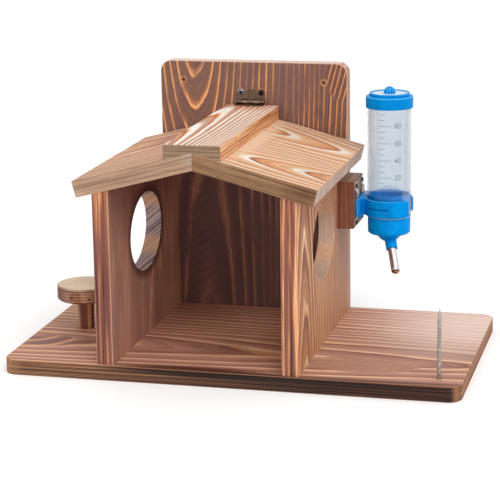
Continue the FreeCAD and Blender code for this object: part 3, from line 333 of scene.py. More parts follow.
# Bottle block: a square of fir with its end grain to the front, flamed reddish brown. Two screws
# from inside the house hold it to the right wall, and it carries the bottle's bracket.
dress("bottle_block", brushed_fir(
    "block_fir_flamed", (110, 60, 90), (-90, 0, 0), 3.4,
    [(0, "#8f5539"), (0.5, "#87503a"), (0.9, "#a5663f"), (1, "#8f5539")], "#80492f", drift=2,
    arris="#6a3a28",
    edges=[((0, -1, 0), "X", 2.2, [(0.1, "#6a3b2b"), (0.5, "#7d4934"), (0.9, "#935c3e")], 0, 1),
           ((0, 0, 1), "X", 2.6, [(0.1, "#8d7162"), (0.5, "#ab9080"), (0.9, "#c8aa94")], 0, 1),
           ((1, 0, 0), "Y", 3.0, [(0.1, "#8a6a60"), (0.5, "#a98478"), (0.9, "#c8a08c")], 0, 1)]))

# Perch: a seat turned from a slice of a branch, cream on top and flamed at its side, where three
# small knots show. It is glued on a short tapered post of dark fir with a hidden beech dowel, and
# a screw holds the post from below.
seat_side = [(0, "#86543f"), (0.3, "#94604a"), (0.5, "#56342e"), (0.65, "#a06a4a"),
             (0.8, "#dc9c64"), (1, "#86543f")]
dress("perch_seat", brushed_fir(
    "perch_slice_of_branch", (-161, -3, 40), (0, 0, 0), 3.0,
    [(0, "#fff0d8"), (0.5, "#f8dfbc"), (0.8, "#dcb48c"), (1, "#fff4e0")], "#fae6c8", bare=0.5,
    drift=3, fine=0.94, arris="#6a3c2c",
    branches=[((-161, -3, -200), (90, 0, 0), 2.6, 2, seat_side, (-161, -3, 45), (70, 70, 10.1))],
    # greyer at the left, redder at the right, and the three knots
    patches=[((-178, -26, 48), (16, 12, 14), "#a98a80", 0.3, 0.5, "MIX"),
             ((-142, -28, 48), (14, 12, 14), "#c07844", 0.2, 0.5, "MIX"),
             ((-165, -28, 47.5), (2.4, 4, 2.2), "#4a2c20", 0.4, 0.85, "MIX"),
             ((-149, -25, 46), (2.0, 4, 1.8), "#4a2c20", 0.4, 0.85, "MIX"),
             ((-180, -19, 46.5), (2.0, 4, 2.0), "#5a3a2c", 0.4, 0.8, "MIX")]))
dress("perch_post", brushed_fir(
    "perch_post_turned_fir", (-150, -2, 20), (0, 0, 0), 3.0,
    [(0, "#7a4636"), (0.6, "#5f3428"), (0.9, "#9d5e42"), (1, "#7a4636")], "#5c3227", drift=2,
    # painted shade where it meets the seat and the base
    patches=[((-161, -3, 42), (12, 12, 6), "#5a3f38", 0.4, 0.9, "MULTIPLY"),
             ((-161, -3, 13), (12, 12, 4), "#5a3f38", 0.3, 0.9, "MULTIPLY")]))


def clouded(name, tones, width, roughness, detail=2.0, stretch=(1, 1, 1)):
    """A smooth finish that drifts between two tones, in clouds some millimetres wide."""
    material, tree, shader = new_material(name)
    place = add(tree, "Mapping", {"Vector": add(tree, "TexCoord").outputs["Object"],
                                  "Scale": stretch})
    clouds = add(tree, "TexNoise", {"Vector": place.outputs[0], "Scale": 1000 / width,
                                    "Detail": detail})
    tone = add(tree, "ValToRGB", {0: clouds.outputs["Fac"]}, ramp=tones)
    feed(tree, shader, {"Base Color": tone.outputs[0], "Roughness": roughness})
    return material


# sanded beech is pale and even, with short fibres along the dowel
dress("perch_dowel", clouded("beech_dowel_sanded", [(0.35, "#c9a374"), (0.65, "#e2c295")], 0.667,
                             0.6, detail=3.0, stretch=(1, 1, 0.1)))

# Cob spike: a long pin of steel, ground to a point and driven up through the base from below. Bare
# drawn steel is a soft grey with fine lines along it, which stretch what it mirrors.


def worked_metal(name, tone, worn, roughness, marks, along=(1, 1, 1)):
    """A metal with a tone, a worn tone in clouds of about 3 mm, and marks some millimetres apart.

    Marks left by drawing, rolling or polishing are drawn coarser than real ones, so that they show.
    """
    material, tree, shader = new_material(name)
    coord = add(tree, "TexCoord")
    clouds = add(tree, "TexNoise", {"Vector": coord.outputs["Object"], "Scale": 330.0,
                                    "Detail": 4.0, "Roughness": 0.65})
    tint = add(tree, "ValToRGB", {0: clouds.outputs["Fac"]}, ramp=[(0.3, tone), (0.7, worn)])
    run = add(tree, "Mapping", {"Vector": coord.outputs["Object"], "Scale": along})
    scratches = add(tree, "TexNoise", {"Vector": run.outputs[0], "Scale": 1000 / marks,
                                       "Detail": 2.0})
    rough = add(tree, "MapRange", {0: scratches.outputs["Fac"], 1: 0.3, 2: 0.7, 3: roughness * 0.7,
                                   4: roughness * 1.3})
    bump = add(tree, "Bump", {"Strength": 0.2, "Distance": 0.00005,
                              "Height": scratches.outputs["Fac"]})
    feed(tree, shader, {"Base Color": tint.outputs[0], "Roughness": rough.outputs[0],
                        "Metallic": 1.0, "Normal": bump.outputs[0]})
    return material


dress("cob_spike", worked_metal("drawn_steel", "#8c8782", "#c2beb8", 0.3, 0.3, along=(1, 1, 0.05)))

# Hinge: two stamped steel leaves whose five knuckles turn on one brass pin. Antique bronze plating
# is a dull brown-black to the eye, with a warm glint, and its cut edges and the rims of its lobes
# are rubbed back to golden metal.


def solids_of(name):
    """The lowest and highest corner of each separate solid in a piece of the frame."""
    mesh = bmesh.new()
    mesh.from_mesh(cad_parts[name].data)
    bmesh.ops.remove_doubles(mesh, verts=mesh.verts, dist=1e-6)
    left = set(mesh.verts)
    corners = []
    while left:
        front = [left.pop()]
        solid = list(front)
        while front:
            for edge in front.pop().link_edges:
                for vert in edge.verts:
                    if vert in left:
                        left.remove(vert)
                        front.append(vert)
                        solid.append(vert)
        corners.append([Vector(pick(vert.co[axis] for vert in solid) for axis in range(3))
                        for pick in (min, max)])
    mesh.free()
    return sorted(corners, key=lambda pair: tuple(pair[0]))


def colour_of(material):
    """A finished material's node tree, its main shader and the socket that colours it so far."""
    tree = material.node_tree
    shader = tree.nodes["Principled BSDF"]
    return tree, shader, shader.inputs["Base Color"].links[0].from_socket


LOBE_RIM = 0.0037
RIM_HALF_WIDTH = 0.0004
for name, flat_way, lobes_way in (("wall_hinge_leaf", "Y", (0, 0, 1)),
                                  ("roof_hinge_leaf", "Z", (0, -1, 0))):
    antique_bronze = worked_metal("antique_bronze_" + name, "#54463d", "#7d6a5a", 0.34, 0.5)
    tree, shader, plating = colour_of(antique_bronze)
    # the cut edges are what doesn't face the leaf's flat way
    facing = add(tree, "SeparateXYZ", {0: add(tree, "TexCoord").outputs["Normal"]})
    flatness = add(tree, "Math", {0: facing.outputs[flat_way]}, operation="ABSOLUTE")
    rubbed = add(tree, "MapRange", {0: flatness.outputs[0], 1: 0.75, 2: 0.3, 4: 0.45})
    worn_tint = add(tree, "Mix", {0: rubbed.outputs[0], 6: plating, 7: linear("#c89c70")},
                    data_type="RGBA").outputs[2]
    # a lobe's rim is an arc round its screw, on the side away from the knuckles
    for screw_low, screw_high in solids_of(name.replace("hinge_leaf", "leaf_screws")):
        lobe = [(low + high) / 2 for low, high in zip(screw_low, screw_high)]
        off_lobe = add(tree, "VectorMath", {0: add(tree, "TexCoord").outputs["Object"], 1: lobe},
                       operation="SUBTRACT")
        flat_off = add(tree, "VectorMath", {0: off_lobe.outputs[0], 1: [
            0 if axis == flat_way else 1 for axis in "XYZ"]}, operation="MULTIPLY")
        rim_reach = add(tree, "VectorMath", {0: flat_off.outputs[0]}, operation="LENGTH")
        rim = add(tree, "Math", {
            0: rim_reach.outputs["Value"], 1: LOBE_RIM, 2: RIM_HALF_WIDTH}, operation="COMPARE")
        past_screw = add(tree, "VectorMath", {0: flat_off.outputs[0], 1: lobes_way},
                         operation="DOT_PRODUCT")
        rim_share = add(tree, "MapRange", {0: past_screw.outputs["Value"], 2: 0.0015, 4: 0.7})
        rim_share = add(tree, "Math", {0: rim.outputs[0], 1: rim_share.outputs[0]},
                        operation="MULTIPLY")
        worn_tint = add(tree, "Mix", {0: rim_share.outputs[0], 6: worn_tint, 7: linear("#d9a870")},
                        data_type="RGBA").outputs[2]
    feed(tree, shader, {"Base Color": worn_tint})
    dress(name, antique_bronze)
dress("hinge_pin", worked_metal("brass_pin", "#7d6648", "#b89a72", 0.35, 0.3, along=(0.1, 1, 1)))

# Hinge screws: small pan heads with a pressed cross, two through the wall leaf into the back board
# and two through the roof leaf into the cap. The plating is a dark bronze, and the left one in the
# wall leaf has lost it, so that it shines grey.


def screw_with_cross(radius, crown, recess, sides):
    """A screw that points down, with the top of its head at the origin and a cross pressed into it.

    The sides are rings of radius and height that the rim is drawn through, down to the end. The
    cross gets the second material.
    """
    mesh = bmesh.new()
    bmesh.ops.create_grid(mesh, x_segments=10, y_segments=10, size=1)
    # an arm is a fifth of the head wide and reaches four fifths of the way to the rim
    arms = []
    for face in mesh.faces:
        across, up = (abs(part) for part in face.calc_center_median().xy)
        if min(across, up) < 0.2 and max(across, up) < 0.75:
            arms.append(face)
    # the square grid becomes a round, crowned head
    for vert in mesh.verts:
        x, y = vert.co.xy
        vert.co.x = radius * x * math.sqrt(1 - y * y / 2)
        vert.co.y = radius * y * math.sqrt(1 - x * x / 2)
        vert.co.z = -crown * vert.co.xy.length_squared / radius ** 2
    sunk = bmesh.ops.extrude_face_region(mesh, geom=arms)["geom"]
    bmesh.ops.delete(mesh, geom=arms, context="FACES_ONLY")
    floor_verts = [part for part in sunk if isinstance(part, bmesh.types.BMVert)]
    bmesh.ops.translate(mesh, verts=floor_verts, vec=(0, 0, -recess))
    bmesh.ops.scale(mesh, verts=floor_verts, vec=(0.8, 0.8, 1))
    for vert in floor_verts:
        for face in vert.link_faces:
            face.material_index = 1
    rim = [edge for edge in mesh.edges if edge.is_boundary]
    for ring_radius, height in sides:
        drawn = bmesh.ops.extrude_edge_only(mesh, edges=rim)["geom"]
        for vert in (part for part in drawn if isinstance(part, bmesh.types.BMVert)):
            around = vert.co.xy.normalized() * ring_radius
            vert.co = (around.x, around.y, height)
        rim = [part for part in drawn if isinstance(part, bmesh.types.BMEdge) and part.is_boundary]
    bmesh.ops.contextual_create(mesh, geom=rim)
    return mesh


def finish_piece(name, mesh, materials, body, slot, *nodes):
    """Make an object of a finished mesh, which rides on a body in place of pieces of the frame."""
    bmesh.ops.recalc_face_normals(mesh, faces=mesh.faces)
    piece = bpy.data.objects.new(name, bpy.data.meshes.new(name))
    mesh.to_mesh(piece.data)
    mesh.free()
    if piece.data.has_custom_normals:
        piece.data.attributes.remove(piece.data.attributes["custom_normal"])
    for material in materials:
        piece.data.materials.append(material)
    piece.data.shade_smooth()
    piece.data.set_sharp_from_angle(angle=math.radians(35))
    bpy.context.scene.collection.objects.link(piece)
    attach(piece, body)
    if nodes:
        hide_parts(*nodes)


def drive_screws(node, screw, way, turns, materials, body, slot):
    """Drive a screw one way wherever the frame has one of this node, each turned by its degrees."""
    pattern = bpy.data.meshes.new(node + "_pattern")
    screw.to_mesh(pattern)
    screw.free()
    group = bmesh.new()
    way = Vector(way)
    for (low, high), turn in zip(solids_of(node), turns):
        middle = (low + high) / 2
        reach = sum(abs(part) for part in (high - low) * way) / 2
        count = len(group.verts)
        group.from_mesh(pattern)
        group.verts.ensure_lookup_table()
        bmesh.ops.transform(group, verts=group.verts[count:], matrix=(
            Matrix.Translation(middle - way * reach)
            @ way.to_track_quat("-Z", "Y").to_matrix().to_4x4()
            @ Matrix.Rotation(math.radians(turn), 4, "Z")))
    finish_piece(node + "_with_crosses", group, materials, body, slot, node)


# painted shade: a pressed cross is coloured near black, for the shade in its recess
painted_recess_shade = worked_metal("painted_shade_in_a_recess", "#0c0b0b", "#1c1917", 0.7, 0.4)
zinc_and_bronze = worked_metal("screw_plating_half_lost", "#6c6a70", "#a8a8b0", 0.32, 0.3)
tree, shader, bare_tint = colour_of(zinc_and_bronze)
# the left screw is bare, and the right one still plated
side = add(tree, "SeparateXYZ", {0: add(tree, "TexCoord").outputs["Object"]})
plated = add(tree, "MapRange", {0: side.outputs["X"], 1: -0.033, 2: -0.022})
two_tints = add(tree, "Mix", {0: plated.outputs[0], 6: bare_tint, 7: linear("#4b403a")},
                data_type="RGBA")
feed(tree, shader, {"Base Color": two_tints.outputs[2]})
dark_plating = worked_metal("dark_screw_plating", "#2c2a2c", "#5a5860", 0.3, 0.3)
HINGE_SCREW = [(0.0029, -0.0012), (0.00125, -0.0012), (0.00125, -0.0072)]
for node, way, turns, metal, body in (
        ("wall_leaf_screws", (0, 1, 0), (20, 38), zinc_and_bronze, "root"),
        ("roof_leaf_screws", (0, 0, -1), (10, 52), dark_plating, "lid")):
    screw = screw_with_cross(radius=0.0029, crown=0.0005, recess=0.0008, sides=HINGE_SCREW)
    drive_screws(node, screw, way, turns, [metal, painted_recess_shade], body, "screw_steel")

# Wood screws: countersunk level with the boards, up through the base, in through the back and out
# through the right wall. The four under the ridge cap lean with the roof. Zinc plating is a pale,
# slightly milky grey.
zinc_plate = worked_metal("zinc_plated_steel", "#8d8b88", "#c4c0ba", 0.35, 0.3)
WOOD_SCREW = [(0.0017, -0.003), (0.0017, -0.025)]
for node, way, turns in (("floor_screws", (0, 0, 1), (12, 70, 33, 81, 5, 48)),
                         ("back_screws", (0, -1, 0), (25, 64, 8, 41)),
                         ("block_screws", (1, 0, 0), (15, 57)),
                         ("perch_screw", (0, 0, 1), (30,))):
    screw = screw_with_cross(radius=0.0034, crown=0, recess=0.0014, sides=WOOD_SCREW)
    drive_screws(node, screw, way, turns, [zinc_plate, painted_recess_shade], "root", "screw_steel")
dress("cap_screws", zinc_plate)

# Bottle bracket: two bowed straps of bright rolled steel, with fine upright lines that catch the
# light. Four small black oxide screws, nearly black with a soft sheen, hold them to the block.
dress("bottle_bracket", worked_metal("bright_strap_steel", "#9aa0a6", "#d8dade", 0.28, 0.4,
                                     along=(1, 1, 0.08)))
BRACKET_SCREW = [(0.0021, -0.0012), (0.0011, -0.0012), (0.0011, -0.0102)]
black_oxide = worked_metal("black_oxide", "#1d1a19", "#3b3633", 0.4, 0.3)
screw = screw_with_cross(radius=0.0021, crown=0.0004, recess=0.0006, sides=BRACKET_SCREW)
drive_screws("bracket_screws", screw, (-1, 0, 0), (5, 40, 22, 67), [black_oxide, painted_recess_shade],
             "root", "dark_screw")

# Bottle clip: a springy ring of blue polypropylene, moulded in one with its plate and with the
# tongue that the straps hold. Its edges are soft, and a shallow groove runs along its front arm.


def blue_moulding(name, tone, deep, edge=0.55):
    """Blue polypropylene from a polished mould.

    To the eye it is a deep, clear blue with a soft gloss and faint clouds where it flowed in the
    mould.
    What faces half up, as a rounded edge does, gets a painted highlight, a paler blue, as far as
    said.
    """
    material, tree, shader = new_material(name)
    coord = add(tree, "TexCoord")
    flow = add(tree, "TexNoise", {"Vector": coord.outputs["Object"], "Scale": 90.0, "Detail": 2.0,
                                  "Distortion": 1.0})
    tint = add(tree, "ValToRGB", {0: flow.outputs["Fac"]}, ramp=[(0.35, deep), (0.65, tone)])
    # painted highlight: a rounded edge looks half sideways and half up, and is made a paler blue
    upward = add(tree, "SeparateXYZ", {0: coord.outputs["Normal"]})
    slant = add(tree, "Math", {0: upward.outputs["Z"], 1: 0.55}, operation="SUBTRACT")
    slant = add(tree, "Math", {0: slant.outputs[0]}, operation="ABSOLUTE")
    painted_edge_highlight = add(tree, "MapRange", {0: slant.outputs[0], 1: 0.25, 2: 0.4, 3: edge, 4: 0.0})
    tint = add(tree, "Mix", {0: painted_edge_highlight.outputs[0], 6: tint.outputs[0], 7: linear("#62c4f6")},
               data_type="RGBA")
    # the skin's fine ripple is drawn over a millimetre wide, so that it shows
    skin = add(tree, "TexNoise", {"Vector": coord.outputs["Object"], "Scale": 700.0, "Detail": 2.0})
    rough = add(tree, "MapRange", {0: skin.outputs["Fac"], 3: 0.12, 4: 0.26})
    bump = add(tree, "Bump", {"Strength": 0.08, "Distance": 0.0001, "Height": skin.outputs["Fac"]})
    feed(tree, shader, {"Base Color": tint.outputs[2], "Roughness": rough.outputs[0], "IOR": 1.49,
                        "Specular IOR Level": 0.04, "Normal": bump.outputs[0]})
    return material


def round_edges(mesh, width, sharp):
    """Round the outward edges of a mesh that turn by more than some degrees."""
    crisp = [edge for edge in mesh.edges if edge.is_manifold and edge.is_convex
             and edge.calc_face_angle() > math.radians(sharp)]
    bmesh.ops.bevel(mesh, geom=crisp, offset=width, offset_type="OFFSET", segments=3, profile=0.5,
                    affect="EDGES", material=-1, clamp_overlap=True)


def softened(name, width):
    """A welded copy of a piece of the frame, its outward sharp edges rounded to a width."""
    mesh = bmesh.new()
    mesh.from_mesh(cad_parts[name].data)
    bmesh.ops.remove_doubles(mesh, verts=mesh.verts, dist=1e-6)
    bmesh.ops.dissolve_limit(mesh, angle_limit=math.radians(1), verts=mesh.verts, edges=mesh.edges)
    round_edges(mesh, width, sharp=30)
    return mesh


clip_blue = blue_moulding("blue_polypropylene_clip", "#0094e4", "#0086d6")
clip_mesh = softened("bottle_clip", 0.0005)
clip_low, clip_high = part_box("bottle_clip")
tube_low, tube_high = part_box("bottle_tube")
tube_middle = (Vector(tube_low) + Vector(tube_high)) / 2
ARM_WALL = 0.001
GROOVE_HALF_WIDTH = 0.0005
GROOVE_DEPTH = 0.0006
GROOVE_ENDS = (-0.0175, 0.0035)
arm_middle = (clip_low[2] + clip_high[2]) / 2
arm_radius = tube_middle.y - clip_low[1] - ARM_WALL
for height in (arm_middle - GROOVE_HALF_WIDTH, arm_middle + GROOVE_HALF_WIDTH):
    everything = clip_mesh.verts[:] + clip_mesh.edges[:] + clip_mesh.faces[:]
    bmesh.ops.bisect_plane(clip_mesh, geom=everything, dist=1e-7, plane_no=(0, 0, 1),
                           plane_co=(0, 0, height))
groove_faces = []
for face in clip_mesh.faces:
    middle = face.calc_center_median()
    out = (middle - tube_middle).xy
    if (abs(middle.z - arm_middle) < GROOVE_HALF_WIDTH and out.length > arm_radius and out.y < 0
            and GROOVE_ENDS[0] < out.x < GROOVE_ENDS[1] and face.normal.xy.dot(out) > 0):
        groove_faces.append(face)
groove_sides = bmesh.ops.inset_region(clip_mesh, faces=groove_faces, thickness=0.0002,
                                      depth=-GROOVE_DEPTH)
for face in groove_faces + groove_sides["faces"]:
    face.material_index = 1
# painted shade: the groove is in its own shade, so it has a deeper blue and no painted edge
# highlight
groove_shade_blue = blue_moulding("blue_polypropylene_painted_groove_shade", "#0060a6", "#005596", edge=0.0)
finish_piece("bottle_clip_soft_edged", clip_mesh, [clip_blue, groove_shade_blue], "root",
             "blue_plastic", "bottle_clip")

# Bottle tube: a cylinder of clear extruded styrene, which is see-through with a grey-blue tinge
# and the faintest haze. A plain scale is printed on its front in one colour of grey ink.
clear_tube, tree, shader = new_material("clear_extruded_styrene")
haze = add(tree, "TexNoise", {"Vector": add(tree, "TexCoord").outputs["Object"],
                              "Scale": 120.0, "Detail": 3.0})
rough = add(tree, "MapRange", {0: haze.outputs["Fac"], 4: 0.07})
tint = add(tree, "ValToRGB", {0: haze.outputs["Fac"]}, ramp=[(0.3, "#bfcddb"), (0.7, "#ccd8e4")])
feed(tree, shader, {"Base Color": tint.outputs[0], "Roughness": rough.outputs[0],
                    "Transmission Weight": 1.0, "Alpha": 0.5, "IOR": 1.45})
dress("bottle_tube", clear_tube)

SCALE_FOOT = 0.022
LINE_STEP = 0.0052
LINE_WIDTH = 0.00045
LINES_LEFT = -0.011
NUMBERS_LEFT = 0.0035
NUMBER_SIZE = 0.0068
SCALE_TURN = 12
FILM_THICKNESS = 0.00003
FILM_GAP = 0.00005
print_radius = (tube_high[0] - tube_low[0]) / 2 + FILM_GAP
scale_print = bmesh.new()
# the scale is laid out flat, in width and height, and then wrapped round the tube
for step in range(1, 15):
    height = tube_low[2] + SCALE_FOOT + LINE_STEP * step
    numbered = step % 3 == 0
    millimetres = 12 if numbered else 6
    line = bmesh.ops.create_grid(scale_print, x_segments=millimetres, y_segments=1, size=0.5)
    bmesh.ops.scale(scale_print, verts=line["verts"], vec=(millimetres / 1000, LINE_WIDTH, 1))
    bmesh.ops.translate(scale_print, verts=line["verts"],
                        vec=(LINES_LEFT + millimetres / 2000, height, 0))
    if numbered:
        label = bpy.data.curves.new("scale_number", "FONT")
        label.body = str(20 * step // 3)
        label.size = NUMBER_SIZE
        label.align_y = "CENTER"
        carrier = bpy.data.objects.new("scale_number", label)
        number = bpy.data.meshes.new_from_object(carrier)
        bpy.data.objects.remove(carrier)
        number.transform(Matrix.Translation((NUMBERS_LEFT, height, 0)))
        scale_print.from_mesh(number)
for vert in scale_print.verts:
    around = vert.co.x / print_radius + math.radians(SCALE_TURN)
    vert.co = (tube_middle.x + print_radius * math.sin(around),
               tube_middle.y - print_radius * math.cos(around), vert.co.y)
bmesh.ops.remove_doubles(scale_print, verts=scale_print.verts, dist=1e-6)
bmesh.ops.solidify(scale_print, geom=scale_print.faces[:], thickness=FILM_THICKNESS)
# screen-printed ink is flat and thin, with pinholes that make it uneven
ink = clouded("grey_screen_print", [(0.35, "#6f747e"), (0.6, "#868b95")], 0.4, 0.5)
finish_piece("scale_print", scale_print, [ink], "bottle", "clear_plastic")

# Top cap: a moulded ring that slips over the tube, a disc on its ledge and a fluted knob to lift it
# by. The ring and the knob are blue polypropylene, and the disc is pale polyethylene.
cap_blue = blue_moulding("blue_polypropylene_cap", "#008dda", "#007fcc")
finish_piece("top_cap_ring_soft_edged", softened("top_cap_ring", 0.0007), [cap_blue], "bottle_top",
             "blue_plastic", "top_cap_ring")
# the knob's flutes are deep and close, and painted shade darkens their hollows to a deeper blue
FLUTES = 12
knob_blue = blue_moulding("blue_polypropylene_knob", "#12a2ee", "#0592e0", edge=0.3)
tree, shader, plain_blue = colour_of(knob_blue)
knob_low, knob_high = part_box("top_cap_knob")
knob_middle = (Vector(knob_low) + Vector(knob_high)) / 2
from_middle = add(tree, "Mapping", {"Vector": add(tree, "TexCoord").outputs["Object"],
                                    "Location": [-part for part in knob_middle]})
offset = add(tree, "SeparateXYZ", {0: from_middle.outputs[0]})
angle = add(tree, "Math", {0: offset.outputs["Y"], 1: offset.outputs["X"]}, operation="ARCTAN2")
turns = add(tree, "Math", {0: angle.outputs[0], 1: FLUTES}, operation="MULTIPLY")
waves = add(tree, "Math", {0: turns.outputs[0]}, operation="COSINE")
painted_flute_shade = add(tree, "MapRange", {0: waves.outputs[0], 1: 0.1, 2: 0.8, 4: 0.85})
flute_shaded_blue = add(tree, "Mix", {0: painted_flute_shade.outputs[0], 6: plain_blue, 7: linear("#0062ac")},
                  data_type="RGBA")
feed(tree, shader, {"Base Color": flute_shaded_blue.outputs[2]})
dress("top_cap_knob", knob_blue)
# polyethylene is a milky white that lets a little light through
pale_disc = clouded("frosted_polyethylene_disc", [(0.35, "#d3e9f4"), (0.65, "#eaf6fb")], 5, 0.35,
                    detail=3.0)
tree, shader, _ = colour_of(pale_disc)
feed(tree, shader, {"Transmission Weight": 0.15, "IOR": 1.5})
dress("top_cap_disc", pale_disc)

# Lower cap: a moulded blue cup that plugs the tube from below, with a bowl under its flat shoulder
# and a collar for the spout that leans to the front. A soft silicone washer seals it against the
# tube's end.
CAP_RADIUS = 0.0194
CAP_HEIGHT = 0.0157
PLUG_RADIUS = 0.0184
PLUG_HEIGHT = 0.0209
SHOULDER_EASE = 0.0016
BOWL_RIM = 0.0115
BOWL_INSIDE_RIM = 0.01
BOWL_DEPTH = 0.0088
WALL = 0.002
plug_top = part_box("lower_cap")[1][2]
cap_top = plug_top - PLUG_HEIGHT
shoulder = cap_top - CAP_HEIGHT


def bowl_profile(mesh, rim, depth, floor):
    """The curve of a bowl, drawn from its pole up to its rim. The rim's vertex is returned."""
    # the bowl is the bottom of a sphere, which its rim and depth give the radius of
    ball_radius = (rim ** 2 + depth ** 2) / (2 * depth)
    pole = mesh.verts.new((0, 0, floor - depth))
    swung = bmesh.ops.spin(mesh, geom=[pole], cent=(0, 0, floor - depth + ball_radius), steps=12,
                           axis=(0, -1, 0), angle=math.acos(1 - depth / ball_radius))
    return next(part for part in swung["geom_last"] if isinstance(part, bmesh.types.BMVert))


lower_cap = bmesh.new()
corner = bowl_profile(lower_cap, BOWL_RIM, BOWL_DEPTH, shoulder)
for reach, height in ((CAP_RADIUS - SHOULDER_EASE, shoulder),
                      (CAP_RADIUS, shoulder + SHOULDER_EASE),
                      (CAP_RADIUS, cap_top), (PLUG_RADIUS, cap_top), (PLUG_RADIUS, plug_top),
                      (PLUG_RADIUS - WALL, plug_top), (PLUG_RADIUS - WALL, shoulder + WALL)):
    following = lower_cap.verts.new((reach, 0, height))
    lower_cap.edges.new((corner, following))
    corner = following
inside = bowl_profile(lower_cap, BOWL_INSIDE_RIM, BOWL_DEPTH, shoulder + WALL)
lower_cap.edges.new((corner, inside))
bmesh.ops.spin(lower_cap, geom=lower_cap.verts[:] + lower_cap.edges[:], cent=(0, 0, 0),
               axis=(0, 0, 1), angle=2 * math.pi, steps=96, use_merge=True)
bmesh.ops.remove_doubles(lower_cap, verts=lower_cap.verts, dist=1e-6)
bmesh.ops.translate(lower_cap, verts=lower_cap.verts, vec=(tube_middle.x, tube_middle.y, 0))

# the deep bowl hangs the collar and the spout 4.4 mm lower than the frame has them
SPOUT_WAY = Vector((0.2563, -0.6039, -0.7547))
SPOUT_DROP = 0.0044
SPOUT_ROOT = 0.0102
COLLAR_LENGTH = 0.0157
COLLAR_MIDDLE = 0.01085
COLLAR_WALL = 0.0013
BORE_DEPTH = 0.005
collar = bmesh.ops.create_cone(lower_cap, segments=64, radius1=0.0052, radius2=0.0055,
                               depth=COLLAR_LENGTH, cap_ends=True)
collar_ends = [face for vert in collar["verts"] for face in vert.link_faces if len(face.verts) > 4]
collar_end = min(collar_ends, key=lambda face: face.calc_center_median().z)
bmesh.ops.inset_region(lower_cap, faces=[collar_end], thickness=COLLAR_WALL, depth=0)
bmesh.ops.inset_region(lower_cap, faces=[collar_end], thickness=0.0001, depth=-BORE_DEPTH)
# the collar is still at the origin, far below the cup
collar_verts = [vert for vert in lower_cap.verts if vert.co.z < COLLAR_LENGTH]
spout_root = Vector((tube_middle.x, tube_middle.y, cap_top - SPOUT_ROOT - SPOUT_DROP))
bmesh.ops.transform(lower_cap, verts=collar_verts, matrix=(
    Matrix.Translation(spout_root + SPOUT_WAY * COLLAR_MIDDLE)
    @ SPOUT_WAY.to_track_quat("-Z", "Y").to_matrix().to_4x4()))
bmesh.ops.recalc_face_normals(lower_cap, faces=lower_cap.faces)
round_edges(lower_cap, 0.0005, sharp=40)
cup_blue = blue_moulding("blue_polypropylene_cup", "#009aec", "#008cde", edge=0.0)
finish_piece("lower_cap_with_bowl", lower_cap, [cup_blue], "bottle_base", "blue_plastic",
             "lower_cap")
# painted light: milky silicone, coloured the pale blue that light from the cup round it gives it
dress("seal_washer", clouded("milky_silicone_painted_blue_light", [(0.35, "#7fb4dc"), (0.65, "#a5cfec")], 1.11, 0.4))

# Spout: a polished stainless tube pressed into the collar, which mirrors the white room in bands
# along it. Its mouth is crimped to hold a steel ball, which the tongue pushes up, and lies in its
# own shade. The ball mirrors the brown wood.
polished = worked_metal("polished_stainless_tube", "#c9c8cb", "#e4e3e4", 0.09, 0.4,
                        along=(1, 1, 0.2))
shaded_mouth = worked_metal("mouth_in_its_own_shade", "#2a211e", "#4a3a32", 0.4, 0.4)
wood_lit_ball = worked_metal("ball_tinted_by_the_wood", "#9a7460", "#c0977a", 0.15, 0.4)
MOUTH_REACH = 0.0411
for name, materials, body in (("spout_tube", [polished, shaded_mouth], "bottle_base"),
                              ("spout_ball", [wood_lit_ball], "ball")):
    lowered = softened(name, 0.0002)
    bmesh.ops.translate(lowered, verts=lowered.verts, vec=(0, 0, -SPOUT_DROP))
    for face in lowered.faces:
        down = (face.calc_center_median() - spout_root).dot(SPOUT_WAY)
        if name == "spout_tube" and down > MOUTH_REACH:
            face.material_index = 1
    finish_piece(name + "_polished", lowered, materials, body, "spout_steel", name)

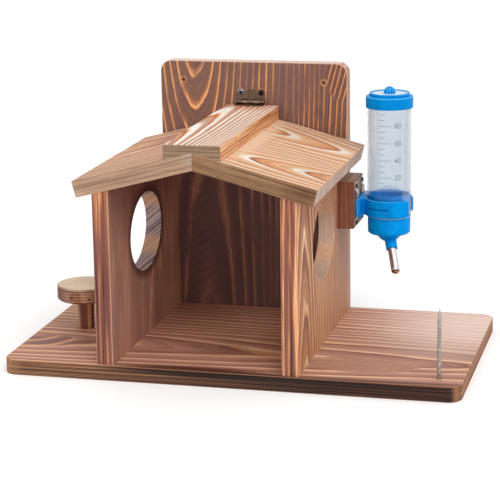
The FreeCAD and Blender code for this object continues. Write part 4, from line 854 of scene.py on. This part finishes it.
# Floor: matt white paper, twelve metres square. It glows a little to the camera, so that it burns
# out to white as in a studio picture, and lies a hair low, clear of the base's underside.
FLOOR_REACH = 6
FLOOR_DROP = 0.0002
floor = bpy.data.objects.new("floor", bpy.data.meshes.new("floor"))
floor.data.from_pydata([(x * FLOOR_REACH, y * FLOOR_REACH, -FLOOR_DROP) for x, y in (
    (-1, -1), (1, -1), (1, 1), (-1, 1))], [], [(0, 1, 2, 3)])
bpy.context.scene.collection.objects.link(floor)
floor_finish, tree, shader = new_material("white_sweep")
path = add(tree, "LightPath")
lift = add(tree, "MapRange", {0: path.outputs["Is Camera Ray"], 4: 0.14})
feed(tree, shader, {"Base Color": linear("#fbfbfb"), "Roughness": 0.9, "Specular IOR Level": 0.0,
                    "Emission Strength": lift.outputs[0]})
floor.data.materials.append(floor_finish)

# Room: an even white tent. It is full white to the camera, through the clear tube and in what
# shines, and a little weaker as the light that falls on the part.
world = bpy.data.worlds.new("room")
world.use_nodes = True
tree = world.node_tree
path = add(tree, "LightPath")
seen = path.outputs["Is Camera Ray"]
for kind in ("Is Transmission Ray", "Is Glossy Ray"):
    seen = add(tree, "Math", {0: seen, 1: path.outputs[kind]}, operation="MAXIMUM").outputs[0]
strength = add(tree, "MapRange", {0: seen, 3: 0.72})
feed(tree, tree.nodes["Background"], {"Color": (1, 1, 1, 1), "Strength": strength.outputs[0]})
bpy.context.scene.world = world

# Lamps: a broad soft one high on the right, and a broader, weaker one from the front to fill the
# shadows
for name, energy, spread, way in (("soft_lamp", 1.1, 35, (-0.55, 0.6, -1)),
                                  ("front_fill", 0.55, 60, (-0.1, 1, -0.25))):
    lamp = bpy.data.lights.new(name, "SUN")
    lamp.energy = energy
    lamp.angle = math.radians(spread)
    lamp_object = bpy.data.objects.new(name, lamp)
    lamp_object.rotation_euler = Vector(way).to_track_quat("-Z", "Y").to_euler()
    bpy.context.scene.collection.objects.link(lamp_object)

# Camera: a long lens, a little above the part and to the right, at the place that the boards'
# edges in the photograph give
camera = bpy.data.cameras.new("camera")
camera.lens = 134.35
camera.sensor_width = 36
camera.sensor_fit = "HORIZONTAL"
camera.clip_end = 20
camera_object = bpy.data.objects.new("camera", camera)
camera_place = Vector((0.39709, -1.56277, 0.48961))
yaw, pitch, roll = (math.radians(angle) for angle in (14.43, -13.81, -0.83))
camera_object.matrix_world = (Matrix.Translation(camera_place) @ Matrix.Rotation(yaw, 4, "Z")
                              @ Matrix.Rotation(math.pi / 2 + pitch, 4, "X")
                              @ Matrix.Rotation(roll, 4, "Z"))
bpy.context.scene.collection.objects.link(camera_object)
bpy.context.scene.camera = camera_object
bpy.context.scene.view_settings.view_transform = "Standard"
